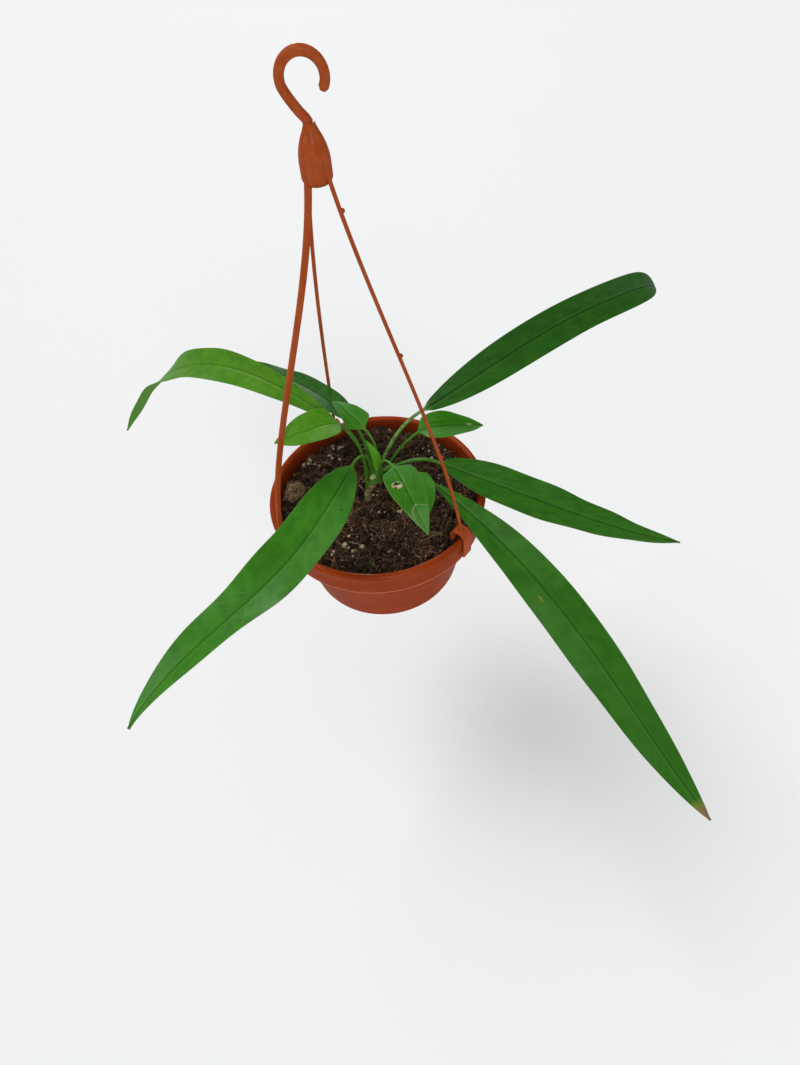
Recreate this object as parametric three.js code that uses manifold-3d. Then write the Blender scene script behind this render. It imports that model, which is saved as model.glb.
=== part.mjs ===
// Potted anthurium vittariifolium in a hanging plastic pot.
// Millimetres, +Z up. The origin is the centre of the pot's base, and -Y is the side the plant is seen from.

import * as THREE from 'three';
import { mergeVertices } from 'three/addons/utils/BufferGeometryUtils.js';
import loadManifold from 'manifold-3d';

const wasm = await loadManifold();
wasm.setup();

// Driving sizes
const RIM_RADIUS = 90;
const POT_HEIGHT = 100;
const BASE_RADIUS = 53;
const WALL = 1.8;
const BAND_HEIGHT = 22.6;
const SOIL_BELOW_RIM = 12.5;
const CLEARANCE = 0.3;
const BLADE_THICKNESS = 0.8;
const HANGER_HEIGHT = 265;

const SOIL_LEVEL = POT_HEIGHT - SOIL_BELOW_RIM;

// Materials
const plastic = (color, roughness) => new THREE.MeshStandardMaterial({ color, roughness, metalness: 0 });
const terracottaPlastic = plastic(0xa8492a, 0.35);
const hangerPlastic = plastic(0xbb5a35, 0.45);
const peat = plastic(0x2e1d14, 1.0);
const stemGreen = plastic(0x5f7a35, 0.7);
const sheathGreen = plastic(0x67a32c, 0.5);
const bractGreen = plastic(0xa3b345, 0.6);
const leafGreen = plastic(0x2f6b22, 0.4);
const youngGreen = plastic(0x5a9a2c, 0.4);

// Small helpers
const degrees = (angle) => THREE.MathUtils.degToRad(angle);

const polar = (radius, angle, z) => new THREE.Vector3(
  radius * Math.cos(degrees(angle)), radius * Math.sin(degrees(angle)), z);

// The smooth curve through four values spaced evenly over t from 0 to 1.
function throughFour([a, b, c, d], t) {
  const s = 3 * t;
  return -a * (s - 1) * (s - 2) * (s - 3) / 6
    + b * s * (s - 2) * (s - 3) / 2
    - c * s * (s - 1) * (s - 3) / 2
    + d * s * (s - 1) * (s - 2) / 6;
}

// Crowds stations towards both ends of a length.
const easeEnds = (u) => u - 0.09 * Math.sin(2 * Math.PI * u);

function signedVolume(positions, indices) {
  const a = new THREE.Vector3();
  const b = new THREE.Vector3();
  const c = new THREE.Vector3();
  let total = 0;
  for (let i = 0; i < indices.length; i += 3) {
    a.fromArray(positions, 3 * indices[i]);
    b.fromArray(positions, 3 * indices[i + 1]);
    c.fromArray(positions, 3 * indices[i + 2]);
    total += a.dot(b.cross(c)) / 6;
  }
  return total;
}

function geometryFrom(positions, indices) {
  const outward = signedVolume(positions, indices) > 0;
  const faces = outward ? indices : [...indices].reverse();
  const geometry = new THREE.BufferGeometry();
  geometry.setAttribute('position', new THREE.Float32BufferAttribute(positions, 3));
  geometry.setIndex(faces);
  return geometry;
}

// A closed skin over rings of equal length, each end closed by a fan.
// A mirrored ring has a lower face that is cut along the same diagonals as its upper face.
function loft(rings, mirrored = false) {
  const count = rings[0].length;
  const positions = rings.flatMap((ring) => ring.flatMap((p) => [p.x, p.y, p.z]));
  const indices = [];
  for (let i = 0; i + 1 < rings.length; i += 1) {
    for (let j = 0; j < count; j += 1) {
      const a = i * count + j;
      const b = i * count + (j + 1) % count;
      const c = b + count;
      const d = a + count;
      if (mirrored && j >= count / 2) {
        indices.push(a, b, d, b, c, d);
      } else {
        indices.push(a, b, c, a, c, d);
      }
    }
  }
  const last = (rings.length - 1) * count;
  for (let j = 1; j + 1 < count; j += 1) {
    indices.push(0, j + 1, j);
    indices.push(last, last + j, last + j + 1);
  }
  return geometryFrom(positions, indices);
}

function welded(geometry) {
  const bare = geometry.clone();
  bare.deleteAttribute('normal');
  bare.deleteAttribute('uv');
  return mergeVertices(bare, 1e-4);
}

function toSolid(geometry) {
  const merged = welded(geometry);
  return new wasm.Manifold(new wasm.Mesh({
    numProp: 3,
    vertProperties: Float32Array.from(merged.attributes.position.array),
    triVerts: Uint32Array.from(merged.index.array),
  }));
}

function toGeometry(solid) {
  const mesh = solid.getMesh();
  const geometry = new THREE.BufferGeometry();
  geometry.setAttribute('position', new THREE.BufferAttribute(mesh.vertProperties, 3));
  geometry.setIndex(new THREE.BufferAttribute(mesh.triVerts, 1));
  return geometry;
}

// A solid turned about the Z axis from a profile of [radius, height] points.
function turnedSolid(profile, sides) {
  const points = profile.map(([radius, height]) => new THREE.Vector2(radius, height));
  const turned = welded(new THREE.LatheGeometry(points, sides).rotateX(Math.PI / 2));
  return toSolid(geometryFrom(Array.from(turned.attributes.position.array), Array.from(turned.index.array)));
}

const plant = new THREE.Group();

function add(name, geometry, material) {
  const mesh = new THREE.Mesh(geometry, material);
  mesh.name = name;
  plant.add(mesh);
  return mesh;
}

// A round section of a given radius in the plane of side and up.
function circleRing(centre, side, up, radius, count) {
  return Array.from({ length: count }, (_, j) => {
    const angle = Math.PI - 2 * Math.PI * (j + 0.5) / count;
    return centre.clone()
      .addScaledVector(side, radius * Math.cos(angle))
      .addScaledVector(up, radius * Math.sin(angle));
  });
}

function uprightCylinder(radius, height, x, y, bottom, sides) {
  return new THREE.CylinderGeometry(radius, radius, height, sides)
    .rotateX(Math.PI / 2)
    .translate(x, y, bottom + height / 2);
}

// Pot
const RIM_ROLL = 3;
const RIM_CENTRE = RIM_RADIUS - RIM_ROLL;
const POT_SIDES = 48;
const DRAIN_RADIUS = 4.5;
const DRAIN_CIRCLE = 36;
const DRAIN_COUNT = 8;

// The wall's inner radius: a rounded corner at the floor, then a straight taper to the rim.
const CORNER_TOP = 13;
const CORNER_RADIUS = 65.4;
function innerRadius(z) {
  const slope = (RIM_CENTRE - RIM_ROLL - CORNER_RADIUS) / (POT_HEIGHT - RIM_ROLL - CORNER_TOP);
  return CORNER_RADIUS + (z - CORNER_TOP) * slope;
}

function cornerPoint(u, floor, inset) {
  const turn = degrees(90 * u);
  const radius = BASE_RADIUS - inset + (CORNER_RADIUS - BASE_RADIUS + WALL) * Math.sin(turn);
  return [radius, floor + (CORNER_TOP - floor) * (1 - Math.cos(turn))];
}

function potProfile() {
  const points = [[0, 0], [BASE_RADIUS, 0]];
  for (const u of [0.25, 0.5, 0.75, 1]) points.push(cornerPoint(u, 0, 0));
  const underBand = POT_HEIGHT - BAND_HEIGHT;
  const bandTop = POT_HEIGHT - 6;
  points.push([innerRadius(underBand) + WALL, underBand]);
  points.push([innerRadius(bandTop) + WALL, bandTop]);
  points.push([RIM_RADIUS - 2.8, bandTop]);
  points.push([RIM_RADIUS - 3.2, underBand]);
  points.push([RIM_RADIUS - 1.4, underBand]);
  points.push([RIM_RADIUS - 1.0, POT_HEIGHT - 6]);
  for (const angle of [0, 45, 90, 135, 180]) {
    const turn = degrees(angle);
    points.push([RIM_CENTRE + RIM_ROLL * Math.cos(turn), POT_HEIGHT - RIM_ROLL + RIM_ROLL * Math.sin(turn)]);
  }
  for (const u of [1, 0.66, 0.33, 0]) points.push(cornerPoint(u, WALL, WALL));
  points.push([0, WALL]);
  return points;
}

function buildPot() {
  let solid = turnedSolid(potProfile(), POT_SIDES);
  for (let i = 0; i < DRAIN_COUNT; i += 1) {
    const centre = polar(DRAIN_CIRCLE, (i + 0.5) * 360 / DRAIN_COUNT, 0);
    solid = solid.subtract(toSolid(uprightCylinder(DRAIN_RADIUS, 6, centre.x, centre.y, -2, 10)));
  }
  return toGeometry(solid);
}

add('pot', buildPot(), terracottaPlastic);

// Stem
const ROOT_X = -8.5;
const CROWN_X = 4.5;
const CROWN_TOP = POT_HEIGHT + 25;
const STEM_FOOT = SOIL_LEVEL - 13;
const STEM_RADIUS = 2.3;
const CROWN_RADIUS = 5.8;

// The stem stands upright in its hole, then leans towards +X and back up again at the crown.
function stemCentre(z) {
  const above = SOIL_LEVEL + 4;
  const lean = THREE.MathUtils.smoothstep(z, above, CROWN_TOP);
  return new THREE.Vector3(ROOT_X + (CROWN_X - ROOT_X) * lean, 0, z);
}

// Old leaf scars ring the stem every few millimetres.
function stemRadius(z) {
  const height = (z - SOIL_LEVEL) / (CROWN_TOP - SOIL_LEVEL);
  if (height < 0) return STEM_RADIUS * 0.9;
  const knobs = 0.4 * Math.sin(z * 1.15);
  const shoulder = THREE.MathUtils.smoothstep(height, 0.25, 0.72) * (CROWN_RADIUS - STEM_RADIUS);
  const closing = 1 - 0.55 * THREE.MathUtils.smoothstep(height, 0.86, 1.0);
  return (STEM_RADIUS + knobs + shoulder) * closing;
}

function stemSolid() {
  const heights = [STEM_FOOT, SOIL_LEVEL - 4];
  const rings = 17;
  for (let i = 0; i <= rings; i += 1) heights.push(SOIL_LEVEL + (CROWN_TOP - SOIL_LEVEL) * i / rings);
  const side = new THREE.Vector3(1, 0, 0);
  const back = new THREE.Vector3(0, 1, 0);
  return toSolid(loft(heights.map((z) => circleRing(stemCentre(z), side, back, stemRadius(z), 12))));
}

// Leaves: every blade is one strip that grows out of its own round stalk.
// foot: where the stalk leaves the stem. stalk, length: the lengths of stalk and blade.
// lift: the stalk's first climb. climb, heading, roll: the blade's angles in degrees at its foot,
// one third, two thirds and tip. half: its half width there, before the ends are rounded off.
// droop: how far the tip bends down beyond that. tip: how blunt the tip is.
const LEAVES = {
  leaf_front_left: {
    foot: [-1.5, 3, 121.5], stalk: 40, lift: 79, length: 240, stalkRadius: 1.5, waves: [1.6, 3, 0.4],
    climb: [-11, 6, 10, -16], heading: [236.5, 240, 231, 239.5], roll: [6, 6, -4, -19],
    half: [24, 21.5, 18, 15.5],
  },
  leaf_front_right: {
    foot: [8, -4, 115], stalk: 47, lift: 43, length: 313, stalkRadius: 1.7, waves: [1.0, 4, 1.0],
    climb: [-30, -24, -17, -16], heading: [-31, -51.5, -64, -61], roll: [-3, -24, -41, -45],
    half: [9.5, 18, 19.5, 18],
  },
  leaf_right: {
    foot: [9, 0.2, 120], stalk: 46, lift: 36, length: 244, stalkRadius: 1.6, waves: [1.2, 4, 2.2],
    climb: [-27, -28, -28, -24], heading: [-10, -9, -4.5, 2.5], roll: [-11, -26, -22, -9],
    half: [20, 17.5, 13.5, 9.5],
  },
  leaf_back_right: {
    foot: [6, 6.5, 122], stalk: 57, lift: 64, length: 270, stalkRadius: 1.6, waves: [0.8, 3, 0.2],
    climb: [17, 7, -6, -13], heading: [17.5, 30, 33, 41], roll: [-36, -46, -50, -39],
    half: [14, 16, 15, 16], droop: 20, tip: 16,
  },
  leaf_left_arching: {
    foot: [-6.8, 4.2, 102.5], stalk: 67, lift: 93, length: 297, stalkRadius: 1.5, waves: [1.4, 4, 1.4],
    climb: [37, -6, -39, -50], heading: [155, 145, 151.5, 176], roll: [62, 46, 0, -53],
    half: [9.5, 14.5, 18.5, 22.5], tip: 2.2,
  },
  leaf_back_left: {
    foot: [-3, 7, 117], stalk: 46, lift: 90, length: 167, stalkRadius: 1.4, waves: [0.8, 3, 0.9],
    climb: [7, -3, -8, -20], heading: [120, 133, 138.5, 145], roll: [3, -2, -9, -12],
    half: [15, 11.5, 9, 6.5],
  },
  young_leaf_left: {
    foot: [-7.7, -0.5, 106], stalk: 76, lift: 93, length: 54, stalkRadius: 1.1, waves: [0.5, 2, 0.5],
    climb: [54, 6, -12, -26], heading: [207.5, 202, 188, 174.5], roll: [-1, 10, 12, 0],
    half: [17, 15, 12.5, 9.5],
  },
  young_leaf_right: {
    foot: [9, 4.4, 116.5], stalk: 41, lift: 58, length: 58, stalkRadius: 1.3, waves: [0.5, 2, 1.5],
    climb: [26, -5, -16, -23], heading: [14.5, 7.5, 11, 16], roll: [4, -6, -2, 8],
    half: [16.5, 14.5, 12.5, 9.5],
  },
  young_leaf_front: {
    foot: [3.5, -5.5, 121.5], stalk: 48, lift: 74, length: 61, stalkRadius: 1.2, waves: [0.4, 2, 0.8],
    climb: [9, -15, -33, -52], heading: [-66, -70.5, -65, -61], roll: [-1, 4, 17, 31],
    half: [16, 14.5, 12, 7.5],
  },
  young_leaf_front_right: {
    foot: [8, -5.2, 121], stalk: 31, lift: 48, length: 37, stalkRadius: 1.1, waves: [0.4, 2, 0.3],
    climb: [4, -14, -30, -43], heading: [-43.5, -62.5, -78.5, -92], roll: [3, 2, 0, 0],
    half: [11.5, 11, 8.5, 5.5],
  },
  young_leaf_back: {
    foot: [1.5, 6.5, 121], stalk: 38, lift: 106, length: 39, stalkRadius: 1.2, waves: [0.4, 2, 1.2],
    climb: [25, 18, 8, -4], heading: [131.5, 129, 131.5, 135], roll: [6, -2, -12, -13],
    half: [14, 11.5, 8.5, 6],
  },
};

const BLADE_FOLD = degrees(12);
const ACROSS = [-1, -0.6, -0.15, 0, 0.15, 0.6, 1];
const STEPS_PER_STATION = 4;

// The direction, side and up vectors at one place along a leaf.
function leafFrame(climb, heading, roll) {
  const e = degrees(climb);
  const h = degrees(heading);
  const along = new THREE.Vector3(Math.cos(e) * Math.cos(h), Math.cos(e) * Math.sin(h), Math.sin(e));
  const level = new THREE.Vector3(-Math.sin(h), Math.cos(h), 0);
  const square = new THREE.Vector3().crossVectors(along, level);
  const r = degrees(roll);
  const side = level.clone().multiplyScalar(Math.cos(r)).addScaledVector(square, -Math.sin(r));
  const up = square.clone().multiplyScalar(Math.cos(r)).addScaledVector(level, Math.sin(r));
  return { along, side, up };
}

const stalkFrame = (leaf, u) => leafFrame(
  leaf.lift + (leaf.climb[0] - leaf.lift) * u * u, leaf.heading[0], leaf.roll[0] * u);

// The last fifth of some blades bends down further, by droop degrees at the tip.
const tipDroop = (leaf, t) => (leaf.droop ?? 0) * Math.max(0, (t - 0.8) / 0.2) ** 2;

const bladeFrame = (leaf, t) => leafFrame(
  throughFour(leaf.climb, t) - tipDroop(leaf, t), throughFour(leaf.heading, t), throughFour(leaf.roll, t));

// Walks along a leaf part in short steps and returns the point at each station.
function walk(start, length, stations, frameAt) {
  const points = [start.clone()];
  const here = start.clone();
  for (let i = 0; i + 1 < stations.length; i += 1) {
    const gap = stations[i + 1] - stations[i];
    for (let j = 0; j < STEPS_PER_STATION; j += 1) {
      const middle = stations[i] + gap * (j + 0.5) / STEPS_PER_STATION;
      here.addScaledVector(frameAt(middle).along, length * gap / STEPS_PER_STATION);
    }
    points.push(here.clone());
  }
  return points;
}

const roundedEnds = (leaf, t) => (1 - (1 - t) ** 7) ** 0.75 * (1 - t ** (leaf.tip ?? 5)) ** 0.85;

const stations = (count, ease) => Array.from({ length: count + 1 }, (_, i) => ease(i / count));

function stalkRings(leaf, count, extra = 0) {
  const places = stations(count, (u) => u);
  const points = walk(new THREE.Vector3(...leaf.foot), leaf.stalk, places, (u) => stalkFrame(leaf, u));
  const rings = places.map((u, i) => {
    const { side, up } = stalkFrame(leaf, u);
    const flare = 1 + 0.25 * (1 - u) ** 3;
    return circleRing(points[i], side, up, leaf.stalkRadius * flare + extra, 2 * ACROSS.length);
  });
  if (extra > 0) {
    const { along } = stalkFrame(leaf, 0);
    rings.unshift(rings[0].map((point) => point.clone().addScaledVector(along, -extra)));
  }
  return { rings, end: points[points.length - 1] };
}

function bladeRing(leaf, t, centre) {
  const { side, up } = bladeFrame(leaf, t);
  const half = Math.max(throughFour(leaf.half, t) * roundedEnds(leaf, t), 0.9);
  const [height, waveCount, phase] = leaf.waves;
  const ridge = leaf.stalkRadius * 1.3 * (1 - 0.8 * t);
  const surface = (s, drop) => {
    const edgeWave = height * s * s * Math.sin(2 * Math.PI * waveCount * t + phase + s) * Math.sin(Math.PI * t);
    return centre.clone()
      .addScaledVector(side, s * half * Math.cos(BLADE_FOLD))
      .addScaledVector(up, Math.abs(s) * half * Math.sin(BLADE_FOLD) + edgeWave - drop);
  };
  const upper = ACROSS.map((s) => surface(s, 0));
  const lower = ACROSS.map((s) => surface(s, BLADE_THICKNESS + (s === 0 ? ridge : 0))).reverse();
  return [...upper, ...lower];
}

const isYoung = (leaf) => leaf.length < 100;
const stalkSections = (leaf) => (isYoung(leaf) ? 6 : 8);

function leafSolid(leaf) {
  const stalk = stalkRings(leaf, stalkSections(leaf));
  const places = stations(isYoung(leaf) ? 11 : 22, easeEnds);
  const points = walk(stalk.end, leaf.length, places, (t) => bladeFrame(leaf, t));
  const blade = places.map((t, i) => {
    const flat = bladeRing(leaf, t, points[i]);
    const { side, up } = bladeFrame(leaf, t);
    const round = circleRing(points[i], side, up, leaf.stalkRadius, 2 * ACROSS.length);
    const spread = THREE.MathUtils.smoothstep(t * leaf.length, 0, 9);
    return flat.map((point, j) => round[j].clone().lerp(point, spread));
  });
  return toSolid(loft([...stalk.rings, ...blade.slice(1)], true));
}

// The nibbled hole in the front young leaf: its place along and across the blade, and its half sizes.
const HOLE = { along: 0.3, across: -5, wide: 3.2, long: 1.9 };
function holeCutter() {
  const leaf = LEAVES.young_leaf_front;
  const places = stations(12, (u) => HOLE.along * u);
  const stalk = stalkRings(leaf, stalkSections(leaf));
  const centre = walk(stalk.end, leaf.length, places, (t) => bladeFrame(leaf, t)).pop();
  const { along, side, up } = bladeFrame(leaf, HOLE.along);
  const outline = (lift) => Array.from({ length: 10 }, (_, i) => {
    const angle = 2 * Math.PI * i / 10;
    return centre.clone()
      .addScaledVector(side, HOLE.across + HOLE.wide * Math.cos(angle))
      .addScaledVector(along, HOLE.long * Math.sin(angle))
      .addScaledVector(up, lift);
  });
  return toSolid(loft([outline(-6), outline(8)]));
}

let stem = stemSolid();
for (const [name, leaf] of Object.entries(LEAVES)) {
  const blade = leafSolid(leaf);
  const cut = name === 'young_leaf_front' ? blade.subtract(holeCutter()) : blade;
  add(name, toGeometry(cut), isYoung(leaf) ? youngGreen : leafGreen);
  stem = stem.subtract(toSolid(loft(stalkRings(leaf, stalkSections(leaf), CLEARANCE).rings)));
}

// Sheath and bract: folded pointed scales that stand on the crown.
function scaleSolid(foot, tip, width, thickness, bow, extra = 0) {
  const rings = [];
  const run = new THREE.Vector3().subVectors(tip, foot);
  const side = new THREE.Vector3(run.z, 0, -run.x).normalize();
  const up = new THREE.Vector3().crossVectors(run, side).normalize();
  for (let i = 0; i <= 8; i += 1) {
    const u = i / 8;
    const swell = Math.max(Math.sin(Math.PI * (0.18 + 0.82 * u) ** 0.85), 0.06);
    const centre = foot.clone().addScaledVector(run, u).addScaledVector(side, bow * Math.sin(Math.PI * u));
    rings.push(Array.from({ length: 10 }, (_, j) => {
      const angle = 2 * Math.PI * j / 10;
      return centre.clone()
        .addScaledVector(side, (width / 2 * swell + extra) * Math.cos(angle))
        .addScaledVector(up, (thickness / 2 * swell + extra) * Math.sin(angle));
    }));
  }
  if (extra > 0) rings.unshift(rings[0].map((point) => point.clone().addScaledVector(run, -extra / run.length())));
  return toSolid(loft(rings));
}

const SCALES = {
  sheath: {
    foot: [3.2, -0.8, CROWN_TOP - 2], tip: [-4, -1, CROWN_TOP + 33], width: 7.5, thickness: 3.4, bow: 2.4,
    material: sheathGreen,
  },
  bract: {
    foot: [7.4, -2.4, CROWN_TOP - 1.5], tip: [17, -5, CROWN_TOP + 9], width: 4.6, thickness: 2.4, bow: 1.2,
    material: bractGreen,
  },
};

for (const [name, scale] of Object.entries(SCALES)) {
  const foot = new THREE.Vector3(...scale.foot);
  const tip = new THREE.Vector3(...scale.tip);
  const solid = scaleSolid(foot, tip, scale.width, scale.thickness, scale.bow);
  add(name, toGeometry(solid), scale.material);
  stem = stem.subtract(scaleSolid(foot, tip, scale.width, scale.thickness, scale.bow, CLEARANCE));
}

add('stem', toGeometry(stem), stemGreen);

// Soil
const SOIL_RINGS = 11;
const CLUMP = { x: -73, y: 17, radius: 10, height: 4 };

// Lumps of peat, and the fibrous clump at the left of the plant.
function soilRelief(x, y) {
  const lumps = 1.1 * Math.sin(0.11 * x + 0.5) * Math.sin(0.13 * y + 1.1)
    + 0.7 * Math.sin(0.29 * x + 0.21 * y)
    + 0.5 * Math.sin(0.47 * y - 0.33 * x + 2.0);
  const away = ((x - CLUMP.x) ** 2 + (y - CLUMP.y) ** 2) / CLUMP.radius ** 2;
  return lumps + CLUMP.height * Math.exp(-away);
}

function buildSoil() {
  const edge = innerRadius(SOIL_LEVEL) - CLEARANCE - 0.3;
  const bottomRadius = BASE_RADIUS - WALL - CLEARANCE;
  const positions = [0, 0, SOIL_LEVEL + soilRelief(0, 0)];
  const rims = [];
  for (let i = 1; i <= SOIL_RINGS; i += 1) {
    rims.push((angle) => {
      const point = polar(edge * i / SOIL_RINGS, angle, 0);
      const settle = 1 - 0.75 * THREE.MathUtils.smoothstep(i / SOIL_RINGS, 0.85, 1);
      return [point.x, point.y, SOIL_LEVEL + soilRelief(point.x, point.y) * settle];
    });
  }
  for (const u of [1, 0.66, 0.33]) {
    const [radius, z] = cornerPoint(u, WALL, WALL);
    rims.push((angle) => polar(radius - CLEARANCE * 1.6, angle, z + CLEARANCE).toArray());
  }
  rims.push((angle) => polar(bottomRadius, angle, WALL + CLEARANCE).toArray());
  const indices = [];
  const at = (ring, j) => 1 + ring * POT_SIDES + j % POT_SIDES;
  rims.forEach((rim, ring) => {
    for (let j = 0; j < POT_SIDES; j += 1) {
      positions.push(...rim(360 * j / POT_SIDES));
      if (ring === 0) {
        indices.push(0, at(0, j), at(0, j + 1));
      } else {
        indices.push(at(ring - 1, j), at(ring, j), at(ring, j + 1));
        indices.push(at(ring - 1, j), at(ring, j + 1), at(ring - 1, j + 1));
      }
    }
  });
  const bottom = positions.length / 3;
  positions.push(0, 0, WALL + CLEARANCE);
  for (let j = 0; j < POT_SIDES; j += 1) indices.push(bottom, at(rims.length - 1, j + 1), at(rims.length - 1, j));
  const holeBottom = STEM_FOOT - CLEARANCE;
  const hole = uprightCylinder(STEM_RADIUS + 0.75, 30, ROOT_X, 0, holeBottom, 16);
  return toGeometry(toSolid(geometryFrom(positions, indices)).subtract(toSolid(hole)));
}

add('soil', buildSoil(), peat);

// Hanger: three legs with clips over the rim, and the hub and hook where they meet.
const HUB = new THREE.Vector3(-9, 4, POT_HEIGHT + HANGER_HEIGHT);
const HUB_RING = 4.5;
const LEG_FOOT_HEIGHT = POT_HEIGHT + 9;
const LEG_WIDTH = 2.2;
const LEG_DEPTH = 4.4;
const FOOT_REACH = 79;
const HUB_REACH = 67;
const CLIP_WIDTH = 9.5;

// at: the clip's angle round the rim. foot: how far out the leg stands on its clip.
// bows: how far the leg leans in at its foot and out at the hub.
// twist: how far the flat strip is turned about its own length.
const LEGS = {
  hanger_right: { at: -43, foot: 84, bows: [10, 13.2], twist: -37, nubs: [0.26, 0.53, 0.85] },
  hanger_left: { at: 208, foot: 86.5, bows: [3, 0], twist: 0, nubs: [] },
  hanger_back: { at: 113, foot: 84, bows: [8, 35], twist: -23, nubs: [] },
};

function legCurve({ at, foot: footRadius, bows }) {
  const outward = polar(1, at, 0);
  const foot = polar(footRadius, at, LEG_FOOT_HEIGHT);
  const top = HUB.clone().addScaledVector(outward, HUB_RING);
  const footPull = foot.clone().addScaledVector(outward, -bows[0]);
  footPull.z += FOOT_REACH;
  const topPull = top.clone().addScaledVector(outward, bows[1]);
  topPull.z -= HUB_REACH;
  return new THREE.CubicBezierCurve3(foot, footPull, topPull, top);
}

const HALF_BEVEL = [[-0.5, 0.25], [-0.25, 0.5], [0.25, 0.5], [0.5, 0.25],
  [0.5, -0.25], [0.25, -0.5], [-0.25, -0.5], [-0.5, -0.25]];

function acrossLeg(leg, along) {
  return polar(1, leg.at + 90, 0).applyAxisAngle(along, degrees(leg.twist));
}

function legRing(curve, u, leg, extra, slide = 0) {
  const along = curve.getTangent(u);
  const side = acrossLeg(leg, along);
  const deep = new THREE.Vector3().crossVectors(along, side).normalize();
  const centre = curve.getPoint(u).addScaledVector(along, slide);
  return HALF_BEVEL.map(([a, b]) => centre.clone()
    .addScaledVector(side, a * (LEG_WIDTH + extra))
    .addScaledVector(deep, b * (LEG_DEPTH + extra)));
}

// The leg runs up into the hub and ends there.
const LEG_END = 0.965;
function legSolid(leg, extra = 0) {
  const curve = legCurve(leg);
  const rings = [legRing(curve, 0, leg, extra, -2.2)];
  const count = 18;
  for (let i = 0; i <= count; i += 1) rings.push(legRing(curve, LEG_END * i / count, leg, extra));
  if (extra > 0) rings.push(legRing(curve, LEG_END, leg, extra, extra));
  return toSolid(loft(rings));
}

function nubSolid(leg, u) {
  const curve = legCurve(leg);
  const side = acrossLeg(leg, curve.getTangent(u));
  const centre = curve.getPoint(u).addScaledVector(side, LEG_WIDTH / 2);
  return toSolid(new THREE.IcosahedronGeometry(1.5, 0).translate(centre.x, centre.y, centre.z));
}

// The clip's outline in radius and height: an outer flap down the band, an arch over the rim
// and a finger inside the pot. A ridge inside the flap catches under the rolled rim.
const ARCH_CENTRE = [RIM_RADIUS - 5.2, 0.8];
const ARCH_INSIDE = 5.5;
const ARCH_OUTSIDE = 7.2;
const FLAP_END = -BAND_HEIGHT + 3.6;
const RIDGE = 0.95;

function archPoints(radius, from, to, count) {
  return Array.from({ length: count + 1 }, (_, i) => {
    const angle = degrees(from + (to - from) * i / count);
    return [ARCH_CENTRE[0] + radius * Math.cos(angle), ARCH_CENTRE[1] + radius * Math.sin(angle)];
  });
}

function clipSolid(at) {
  const inner = ARCH_CENTRE[0] + ARCH_INSIDE;
  const outer = ARCH_CENTRE[0] + ARCH_OUTSIDE;
  const fingerIn = ARCH_CENTRE[0] - ARCH_INSIDE;
  const fingerOut = ARCH_CENTRE[0] - ARCH_OUTSIDE;
  const outline = [
    [inner - 0.3, FLAP_END], [outer - 0.7, FLAP_END], [outer - 0.2, FLAP_END + 0.6],
    ...archPoints(ARCH_OUTSIDE, 0, 180, 10),
    [fingerOut + 0.1, -3.6], [fingerOut + 0.8, -4.6], [fingerIn + 0.9, -4.2], [fingerIn + 0.7, -3.0],
    ...archPoints(ARCH_INSIDE, 180, 0, 8),
    [inner, -5.9], [inner - RIDGE, -6.7], [inner - RIDGE, -8], [inner, -9.2],
  ];
  const shape = new THREE.Shape(outline.map(([r, h]) => new THREE.Vector2(r, h + POT_HEIGHT)));
  const flat = new THREE.ExtrudeGeometry(shape, { depth: CLIP_WIDTH, bevelEnabled: false });
  flat.translate(0, 0, -CLIP_WIDTH / 2).rotateX(Math.PI / 2).rotateZ(degrees(at));
  return toSolid(flat);
}

function hookSolid() {
  const ring = 11;
  const eye = HUB.clone().add(new THREE.Vector3(0, 0, 28));
  const centreLine = [
    HUB.clone().add(new THREE.Vector3(0, 0, 4)),
    HUB.clone().add(new THREE.Vector3(-0.5, 0, 9)),
    HUB.clone().add(new THREE.Vector3(-4.5, 0, 14.5)),
  ];
  for (let angle = 215; angle >= -35; angle -= 25) {
    const turn = degrees(angle);
    centreLine.push(eye.clone().add(new THREE.Vector3(ring * Math.cos(turn), 0, ring * Math.sin(turn))));
  }
  const curve = new THREE.CatmullRomCurve3(centreLine);
  const across = new THREE.Vector3(0, 1, 0);
  const rings = [];
  const count = 24;
  for (let i = 0; i <= count; i += 1) {
    const along = curve.getTangent(i / count);
    const deep = new THREE.Vector3().crossVectors(along, across).normalize();
    const tip = i === count ? 0.6 : 1;
    rings.push(circleRing(curve.getPoint(i / count), across, deep, 2.6 * tip, 8));
  }
  return toSolid(loft(rings));
}

function hubSolid() {
  const profile = [[0, -21], [6.4, -21], [8.6, -18], [8.6, -9], [7.4, -2], [4.4, 5], [3.0, 9], [0, 9]];
  return turnedSolid(profile, 16).translate([HUB.x, HUB.y, HUB.z]);
}

let hub = hubSolid().add(hookSolid());
for (const [name, leg] of Object.entries(LEGS)) {
  let solid = legSolid(leg).add(clipSolid(leg.at));
  for (const u of leg.nubs) solid = solid.add(nubSolid(leg, u));
  add(name, toGeometry(solid), hangerPlastic);
  hub = hub.subtract(legSolid(leg, 2 * CLEARANCE));
}
add('hanger_hook', toGeometry(hub), hangerPlastic);

export default plant;
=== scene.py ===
# %% [markdown]
# # A potted Anthurium vittariifolium in a hanging pot
#
# The pot, the hanger and every leaf arrive as plain solids that already have the right size and place.
# This lesson gives each of them a finer skin of the same form, strews the soil with crumbs, fibres and
# perlite, and mixes a procedural finish for every surface.

# %% Load the solids
import math

import bmesh
import bpy
import numpy as np
from mathutils import Matrix, Vector, noise


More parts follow.
